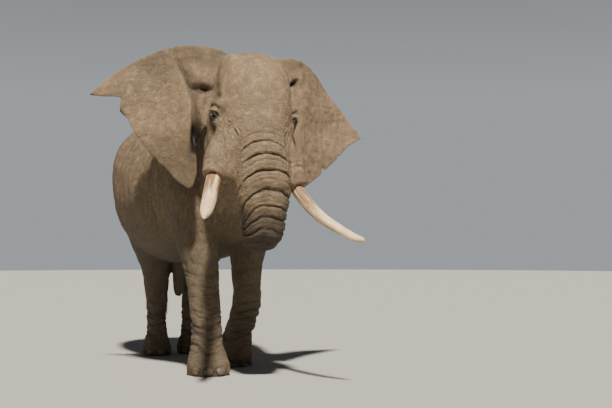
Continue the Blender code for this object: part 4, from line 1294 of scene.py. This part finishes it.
level_lines = thin_lines(tree, level_place)
upright_lines = thin_lines(tree, upright_place)
lines = add(tree, "Mix", {"data_type": "FLOAT"}, i0=upright_here, i2=level_lines, i3=upright_lines).outputs[0]
broad_place = stretched(tree, upright_place, (0.47, 0.47, 0.6))
broad_lines = rest_of(tree, times(tree, rest_of(tree, thin_lines(tree, broad_place)), upright_here))
cracks = add(tree, "TexVoronoi", {"feature": "DISTANCE_TO_EDGE"}, Vector=shifted, Scale=62.0)
crack_lines = between(tree, cracks.outputs[0], 0.0, 0.12)
# The wrinkle lines and cracks are darkened with dirt and painted shade in their valleys.
for pattern, ink in ((lines, times(tree, lined_here, 0.38)), (broad_lines, 0.20), (crack_lines, 0.11)):
    colour = blend_colour(tree, times(tree, rest_of(tree, pattern), ink), colour, DARK_DIRT_AND_SHADE)
relief = times(tree, lines, times(tree, lined_here, 0.0040))
for pattern, rise in ((crack_lines, 0.0009), (grain, 0.0016), (broad_lines, 0.0030), (mottle, 0.0040),
                      (blotch, -0.0030)):
    relief = plus(tree, relief, times(tree, pattern, rise))
finish_with(tree, shader, colour, relief, 1.0, between(tree, dark_here, 0.0, 1.0, 0.88, 0.60))
shader.inputs["Specular IOR Level"].default_value = 0.25
skin.data.materials.clear()
skin.data.materials.append(hide)
print("hide:", len(tree.nodes), "nodes")

# %% [markdown]
# ## Tusks
# The solids of the tusks already have the right curves and girths, but flat facets. Each is remeshed finely,
# smoothed without shrinking and thinned again. The ends are blunt and worn. Ivory is cream, with
# lengthwise grain, brown stains near the lip and a few dark cracks at the tip.

# %% Tusk pieces
TUSK_VOXEL, TUSK_ROUNDS, TUSK_TRIANGLES = 0.005, 60, 16000
TUSK_WEAR = {             # girth lost at the tip, where that starts, and how far the tip is drawn back
    "tusk_left": (0.12, 0.85, 0.0),
    "tusk_right": (0.62, 0.66, 0.035),
}
SLICES = np.linspace(0, 1, 41)
HALF_SLICE = 0.03


def smoothed_copy(name, voxel, rounds, new_name):
    """A smooth, even copy of one solid, which keeps its girth."""
    work = bmesh.new()
    work.from_mesh(nodes[name].data)
    bmesh.ops.remove_doubles(work, verts=work.verts, dist=1e-5)
    mesh = bpy.data.meshes.new(new_name)
    work.to_mesh(mesh)
    work.free()
    piece = link(mesh, new_name)
    use(piece)
    mesh.remesh_voxel_size = voxel
    bpy.ops.object.voxel_remesh()
    for step in range(2):
        ease = piece.modifiers.new("ease", "SMOOTH")
        ease.factor, ease.iterations = 1.0, rounds
        apply_all(piece)
        if step == 0:
            once = points_of(piece.data)
    put_points(piece.data, 2 * once - points_of(piece.data))
    return piece


def thin_to(piece, triangles):
    """Collapses a piece's edges until it has about so many triangles."""
    thin = piece.modifiers.new("thin", "DECIMATE")
    thin.ratio = min(1.0, triangles / (2 * len(piece.data.polygons)))
    thin.use_collapse_triangulate = True
    apply_all(piece)


tusks = []
for name in ("tusk_left", "tusk_right"):
    tusk = smoothed_copy(name, TUSK_VOXEL, TUSK_ROUNDS, name + "_ivory")
    spots = points_of(tusk.data)
    run = (spots[:, 1].max() - spots[:, 1]) / np.ptp(spots[:, 1])       # 0 at the root, 1 at the tip
    centres = np.array([spots[np.abs(run - share) <= HALF_SLICE].mean(axis=0) for share in SLICES])
    axis_here = np.column_stack([np.interp(run, SLICES, centres[:, k]) for k in range(3)])
    thinner, worn_from, drawn_back = TUSK_WEAR[name]
    turned_by = np.arctan2(spots[:, 0] - axis_here[:, 0], spots[:, 2] - axis_here[:, 2])
    grooves = 1 + 0.010 * noise(np.column_stack([turned_by * 3, run * 3, run * 0]), 131)
    girth = (1 - thinner * smooth_step(run, worn_from, 1.0)) * grooves
    shaped = axis_here + (spots - axis_here) * girth[:, None]
    shaped[:, 1] = spots[:, 1] + drawn_back * smooth_step(run, 0.5, 1.0)
    put_points(tusk.data, shaped)
    round_a, round_b = np.cos(turned_by), np.sin(turned_by)
    for column_name, values in (("along", run), ("round_a", round_a), ("round_b", round_b)):
        keep_column(tusk.data, column_name, values)
    thin_to(tusk, TUSK_TRIANGLES)
    tusk.data.shade_smooth()
    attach(tusk, "root")
    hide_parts(name)
    tusks.append(tusk)
    print(tusk.name, len(tusk.data.polygons), "triangles")

# %% Ivory material
CREAM, HONEY, STAIN, CRACK = (0.98, 0.79, 0.50), (0.66, 0.42, 0.21), (0.20, 0.100, 0.045), (0.07, 0.045, 0.03)
ivory, tree, shader = new_material("ivory")
place = add(tree, "TexCoord").outputs["Object"]
along_here, round_a, round_b = (attribute(tree, name) for name in ("along", "round_a", "round_b"))


def lengthwise(tree, around, along):
    """A place on the tusk that is drawn out along its length."""
    return vector_of(tree, times(tree, round_a, around), times(tree, round_b, around),
                     times(tree, along_here, along))


grain = noise_at(tree, lengthwise(tree, 6.0, 5.0), 1.0, 5.0, 0.6)
broad = noise_at(tree, stretched(tree, place, (6.0, 2.5, 6.0)), 1.0, 3.0, 0.5)
runs = noise_at(tree, lengthwise(tree, 1.7, 2.4), 1.0, 4.0, 0.6)
colour = tinted(tree, CREAM, [(broad, 0.45, 0.68, 0.60, HONEY), (grain, 0.50, 0.70, 0.60, HONEY)])
near_lip = times(tree, between(tree, along_here, 0.85, 0.30), between(tree, runs, 0.44, 0.56))
colour = blend_colour(tree, times(tree, near_lip, 0.90), colour, STAIN)
facing = add(tree, "SeparateXYZ", None, Vector=add(tree, "NewGeometry").outputs["Normal"]).outputs["Z"]
under = between(tree, facing, 0.1, -0.6, 0.0, 0.55)
colour = blend_colour(tree, times(tree, under, between(tree, runs, 0.3, 0.55)), colour, STAIN)
tip_wear = times(tree, between(tree, along_here, 0.93, 1.0, 0.0, 0.6), between(tree, grain, 0.42, 0.6))
colour = blend_colour(tree, tip_wear, colour, CRACK)
split_lines = noise_at(tree, lengthwise(tree, 3.0, 2.0), 1.0, 2.0, 0.5)
splits = between(tree, from_middle(tree, split_lines), 0.0, 0.012, 1.0, 0.0)
splits = times(tree, splits, between(tree, broad, 0.45, 0.6, 0.0, 0.7))
colour = blend_colour(tree, splits, colour, CRACK)
relief = maths(tree, "SUBTRACT", times(tree, grain, 0.0022), times(tree, splits, 0.0012))
finish_with(tree, shader, colour, relief, 0.8, between(tree, grain, 0.3, 0.7, 0.34, 0.62))
for tusk in tusks:
    tusk.data.materials.clear()
    tusk.data.materials.append(ivory)
print("ivory:", len(tree.nodes), "nodes")

# %% [markdown]
# ## Eyes
# The eyeball is a ball of the solid's own size with a slightly bulging cornea. How far each point is turned
# from the gaze picks its colour: black pupil, amber-brown iris, dark rim, then the clouded brown white.

# %% Eyeballs
GAZE = (0.66, 0.74, -0.10)          # outward, ahead and up in the head's measure
FILM = 0.0006                       # the ball stands this far out of its solid
CORNEA_FROM, CORNEA_RISE = 0.86, 0.0028
IRIS_DARK, IRIS_LIGHT = (0.030, 0.016, 0.009), (0.070, 0.036, 0.018)
WHITE_DARK, WHITE_LIGHT = (0.022, 0.015, 0.012), (0.050, 0.034, 0.027)
IRIS_RIM, PUPIL = (0.012, 0.009, 0.008), (0.004, 0.004, 0.004)
for sign, name in ((-1, "eye_right"), (1, "eye_left")):
    gaze = Vector(GAZE[0] * sign * head_side + GAZE[1] * head_ahead + GAZE[2] * head_up).normalized()
    ball = bmesh.new()
    bmesh.ops.create_uvsphere(ball, u_segments=64, v_segments=40, radius=eye_radius + FILM)
    bmesh.ops.rotate(ball, verts=ball.verts, matrix=gaze.to_track_quat("Z", "Y").to_matrix())
    for vert in ball.verts:
        facing = vert.co.normalized().dot(gaze)
        if facing > CORNEA_FROM:
            vert.co += gaze * CORNEA_RISE * ((facing - CORNEA_FROM) / (1 - CORNEA_FROM))
    bmesh.ops.translate(ball, verts=ball.verts, vec=middle_of(name))
    mesh = bpy.data.meshes.new(name + "_ball")
    ball.to_mesh(mesh)
    ball.free()
    eye = link(mesh, name + "_ball")
    spots = points_of(mesh) - np.array(middle_of(name))
    spots /= np.linalg.norm(spots, axis=1)[:, None]
    keep_column(mesh, "turned", np.degrees(np.arccos(np.clip(spots @ np.array(gaze), -1, 1))) / 90)
    mesh.shade_smooth()
    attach(eye, "root")
    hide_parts(name)
    eye_finish, tree, shader = new_material(name + "_wet")
    turned = attribute(tree, "turned")
    place = add(tree, "TexCoord").outputs["Object"]
    fibres = noise_at(tree, place, 420.0, 3.0, 0.6)
    iris = blend_colour(tree, fibres, IRIS_DARK, IRIS_LIGHT)
    white = blend_colour(tree, fibres, WHITE_DARK, WHITE_LIGHT)
    colour = blend_colour(tree, between(tree, turned, 0.43, 0.50), iris, white)
    rim = between(tree, from_middle(tree, turned, 0.45), 0.0, 0.05, 0.85, 0.0)
    colour = blend_colour(tree, rim, colour, IRIS_RIM)
    colour = blend_colour(tree, between(tree, turned, 0.19, 0.16), colour, PUPIL)
    tree.links.new(colour, shader.inputs["Base Color"])
    shader.inputs["Roughness"].default_value = 0.12
    shader.inputs["Coat Weight"].default_value = 0.5
    shader.inputs["Coat Roughness"].default_value = 0.03
    mesh.materials.append(eye_finish)
print("eyes of", round(eye_radius * 2000, 1), "mm")

# %% [markdown]
# ## Toenails
# An elephant's nails are not claws but flat plates of horn set in the front of the foot. The solids give
# their places and sizes. They are joined, remeshed at a few millimetres and rounded, and the horn gets
# growth ridges and a worn lower edge.

# %% Toenails
NAIL_PUFF, NAIL_VOXEL, NAIL_ROUNDS, NAIL_TRIANGLES = 0.002, 0.0035, 40, 24000
plates = bmesh.new()
nail_names = [name for name in sorted(nodes) if name.startswith("nail")]
for name in nail_names:
    plates.from_mesh(nodes[name].data)
bmesh.ops.remove_doubles(plates, verts=plates.verts, dist=1e-5)
nail_mesh = bpy.data.meshes.new("toenails")
plates.to_mesh(nail_mesh)
plates.free()
nails = link(nail_mesh, "toenails")
puff = nails.modifiers.new("puff", "DISPLACE")
puff.strength, puff.mid_level = NAIL_PUFF, 0.0
apply_all(nails)
nails.data.remesh_voxel_size = NAIL_VOXEL
use(nails)
bpy.ops.object.voxel_remesh()
ease = nails.modifiers.new("ease", "SMOOTH")
ease.factor, ease.iterations = 1.0, NAIL_ROUNDS
apply_all(nails)
spots = points_of(nails.data)
spots[:, 2] = np.maximum(spots[:, 2], 0.001)
put_points(nails.data, spots)
thin_to(nails, NAIL_TRIANGLES)
nails.data.shade_smooth()
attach(nails, "root")
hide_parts(*nail_names)
print("toenails:", len(nails.data.polygons), "triangles")

# %% Horn material
HORN_PALE, HORN_DARK = (0.150, 0.115, 0.082), (0.090, 0.070, 0.052)
RIDGE_DIRT, WORN_EDGE = (0.095, 0.072, 0.053), (0.080, 0.060, 0.043)
horn, tree, shader = new_material("horn")
place = add(tree, "TexCoord").outputs["Object"]
ridges = noise_at(tree, stretched(tree, place, (14.0, 14.0, 120.0)), 1.0, 3.0, 0.55)
cloud = noise_at(tree, place, 30.0, 4.0, 0.6)
height_here = add(tree, "SeparateXYZ", None, Vector=place).outputs["Z"]
colour = blend_colour(tree, between(tree, cloud, 0.35, 0.65), HORN_PALE, HORN_DARK)
colour = tinted(tree, colour, [
    (ridges, 0.45, 0.70, 0.55, RIDGE_DIRT), (height_here, 0.045, 0.0, 0.6, WORN_EDGE),
])
relief = plus(tree, times(tree, ridges, 0.002), times(tree, cloud, 0.0015))
finish_with(tree, shader, colour, relief, 0.8, 0.62)
nails.data.materials.clear()
nails.data.materials.append(horn)
print("horn:", len(tree.nodes), "nodes")

# %% [markdown]
# ## Hair
# Elephants are nearly bare. They keep a tuft of stiff wires on the tail and long lashes that shade the eyes.
# Each hair is a thin tapering tube. It is built by extruding a small ring along a curve, so it is solid and
# closed.

# %% Hair helper
hair_work = bmesh.new()
hair_work.loops.layers.uv.new("OFBake")
TAPER = 0.8              # share of the thickness lost at the tip


def grow_hair(curve, thick, sides, patch):
    """Extrudes a tapering tube along the curve's points. The patch is its own small place in the UV map."""
    work = bmesh.new()
    uv = work.loops.layers.uv.new("OFBake")
    ring = bmesh.ops.create_circle(work, cap_ends=True, segments=sides, radius=thick)["verts"]
    first_way = (curve[1] - curve[0]).normalized()
    bmesh.ops.rotate(work, verts=ring, matrix=first_way.to_track_quat("Z", "Y").to_matrix())
    bmesh.ops.translate(work, verts=ring, vec=curve[0])
    edges = work.edges[:]
    for k in range(1, len(curve)):
        grown = bmesh.ops.extrude_edge_only(work, edges=edges)["geom"]
        ring = [part for part in grown if isinstance(part, bmesh.types.BMVert)]
        edges = [part for part in grown
                 if isinstance(part, bmesh.types.BMEdge) and set(part.verts) <= set(ring)]
        bmesh.ops.translate(work, verts=ring, vec=curve[k] - curve[k - 1])
        shrink = (1 - TAPER * k / (len(curve) - 1)) / (1 - TAPER * (k - 1) / (len(curve) - 1))
        bmesh.ops.scale(work, verts=ring, vec=(shrink,) * 3, space=Matrix.Translation(-curve[k]))
    bmesh.ops.contextual_create(work, geom=edges)
    bmesh.ops.recalc_face_normals(work, faces=work.faces)
    for polygon in work.faces:
        for loop in polygon.loops:
            away = loop.vert.co - curve[0]
            loop[uv].uv = (patch[0] + 0.0015 + 0.0014 * math.sin(away.x * 900),
                           patch[1] + 0.003 * min(1.0, away.length / 0.5))
    mesh = bpy.data.meshes.new("one_hair")
    work.to_mesh(mesh)
    work.free()
    hair_work.from_mesh(mesh)
    bpy.data.meshes.remove(mesh)


def wobble_of(k, seed):
    """A repeatable number from -1 to 1 for hair k."""
    return float(lattice(np.array([[k, k * 7 + 3, seed]], dtype=np.int64), seed)[0])

# %% Tail tuft and lashes
TUFT_HAIRS, TUFT_POINTS, TUFT_THICK, TUFT_LONGEST = 190, 7, 0.0032, 0.42
LASHES, LASH_POINTS, LASH_THICK = 26, 6, 0.0007         # on each eye
GOLDEN_TURN = 2.399963   # radians from one root to the next, which spreads the roots evenly
PATCH = 0.004            # of the UV map for each hair
tuft_low, tuft_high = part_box("tail_tuft")
tuft_middle = (tuft_low + tuft_high) / 2
tuft_size = tuft_high - tuft_low
for k in range(TUFT_HAIRS):
    angle = GOLDEN_TURN * k
    reach = 0.5 * math.sqrt((k + 0.5) / TUFT_HAIRS)
    root = Vector((tuft_middle.x + math.cos(angle) * reach * tuft_size.x * 0.55,
                   tuft_middle.y + math.sin(angle) * reach * tuft_size.y * 0.55,
                   tuft_low.z + tuft_size.z * (0.98 - 0.55 * (k % 11) / 11)))
    long = min(root.z - tuft_low.z, TUFT_LONGEST) * (0.75 + 0.25 * abs(wobble_of(k, 1)))
    spread_out = Vector((math.cos(angle), math.sin(angle), 0)) * reach * 0.5 * tuft_size.x
    bend = Vector((wobble_of(k, 2), wobble_of(k, 3), 0)) * 0.018
    curve = []
    for m in range(TUFT_POINTS):
        t = m / (TUFT_POINTS - 1)
        curve.append(root + spread_out * math.sin(t * 2.4) * 0.8 + bend * t * t + Vector((0, 0, -long * t)))
    grow_hair(curve, TUFT_THICK, 4, (0.05 + PATCH * (k % 20), 0.05 + PATCH * (k // 20)))
for sign, name in ((-1, "eye_right"), (1, "eye_left")):
    centre = in_head(np.array([middle_of(name)]))[0]
    for k in range(LASHES):
        t = k / (LASHES - 1) * 2 - 1
        aside, over = 0.027 - 0.008 * t * t, 0.011 * (1 - t * t) + 0.002
        start = centre + np.array([sign * aside, 0.012 + 0.026 * t, over])
        long = 0.018 + 0.010 * abs(wobble_of(k, 5))
        curve = []
        for m in range(LASH_POINTS):
            q = m / (LASH_POINTS - 1)
            move_by = np.array([sign * 0.85 * long * q, (0.25 + 0.25 * t) * long * q, -0.55 * long * q * q])
            curve.append(Vector(from_head([start + move_by])[0]))
        grow_hair(curve, LASH_THICK, 3, (0.30 + PATCH * k, 0.60 + 0.2 * (sign > 0)))
hair_mesh = bpy.data.meshes.new("hair")
hair_work.to_mesh(hair_mesh)
hair_work.free()
hair = link(hair_mesh, "hair")
hair.data.shade_smooth()
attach(hair, "root")
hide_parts("tail_tuft")
print(TUFT_HAIRS + 2 * LASHES, "hairs,", len(hair.data.polygons), "faces")

# %% Hair material
HAIR_DARK, HAIR_LIGHT = (0.012, 0.010, 0.009), (0.055, 0.042, 0.033)
bristle, tree, shader = new_material("bristle")
place = add(tree, "TexCoord").outputs["Object"]
strand = noise_at(tree, stretched(tree, place, (160.0, 160.0, 9.0)), 1.0, 2.0, 0.5)
feed(tree, shader.inputs["Base Color"], blend_colour(tree, strand, HAIR_DARK, HAIR_LIGHT))
feed(tree, shader.inputs["Roughness"], between(tree, strand, 0.3, 0.7, 0.35, 0.6))
hair.data.materials.append(bristle)
print("hair:", len(tree.nodes), "nodes")

# %% [markdown]
# ## Floor and light
# The model stands on a plain pale floor. A slightly warm sun, high behind the viewer, shows the folds by
# their shadows, and a cool, soft sky fills those in. The sky is brightest at the horizon, so that the
# backdrop pales downwards.

# %% Floor and light
FLOOR_RADIUS, FLOOR_COLOUR = 40.0, (0.45, 0.44, 0.415)
SKY_COLOUR, SKY_LOW, SKY_HIGH = (0.90, 0.95, 1.0), 0.40, 0.05      # strengths at the horizon and overhead
KEY_POWER, KEY_SPREAD, KEY_COLOUR = 7.5, math.radians(3.5), (1.0, 0.93, 0.81)
KEY_ASIDE, KEY_UP = 0.10, 1.35                                     # for one step back towards the viewer
floor = link(bpy.data.meshes.new("floor"), "floor")
plate = bmesh.new()
bmesh.ops.create_circle(plate, cap_ends=True, segments=96, radius=FLOOR_RADIUS)
plate.to_mesh(floor.data)
plate.free()
floor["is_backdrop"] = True
pale_floor, tree, shader = new_material("pale_floor")
feed(tree, shader.inputs["Base Color"], FLOOR_COLOUR)
feed(tree, shader.inputs["Roughness"], 0.8)
floor.data.materials.append(pale_floor)

world = bpy.data.worlds.new("studio")
world.use_nodes = True
tree = world.node_tree
backdrop = tree.nodes["Background"]
height_seen = add(tree, "SeparateXYZ", None, Vector=add(tree, "TexCoord").outputs["Generated"]).outputs["Z"]
feed(tree, backdrop.inputs["Color"], SKY_COLOUR)
feed(tree, backdrop.inputs["Strength"], between(tree, height_seen, 0.12, 0.40, SKY_LOW, SKY_HIGH))
bpy.context.scene.world = world
key_data = bpy.data.lights.new("key", "SUN")
key_data.energy, key_data.angle, key_data.color = KEY_POWER, KEY_SPREAD, KEY_COLOUR
key = bpy.data.objects.new("key", key_data)
key_from = view_right * KEY_ASIDE - view_dir + Vector((0, 0, KEY_UP))
key.rotation_mode = "QUATERNION"
key.rotation_quaternion = (-key_from).to_track_quat("-Z", "Y")
bpy.context.scene.collection.objects.link(key)
print("sun from", [round(v, 2) for v in key_from.normalized()])

# %% [markdown]
# ## Sizes
# The box of the solids and the box of this dressed model are written down together, so that they can be
# compared.

# %% Sizes, then the end
low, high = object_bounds()
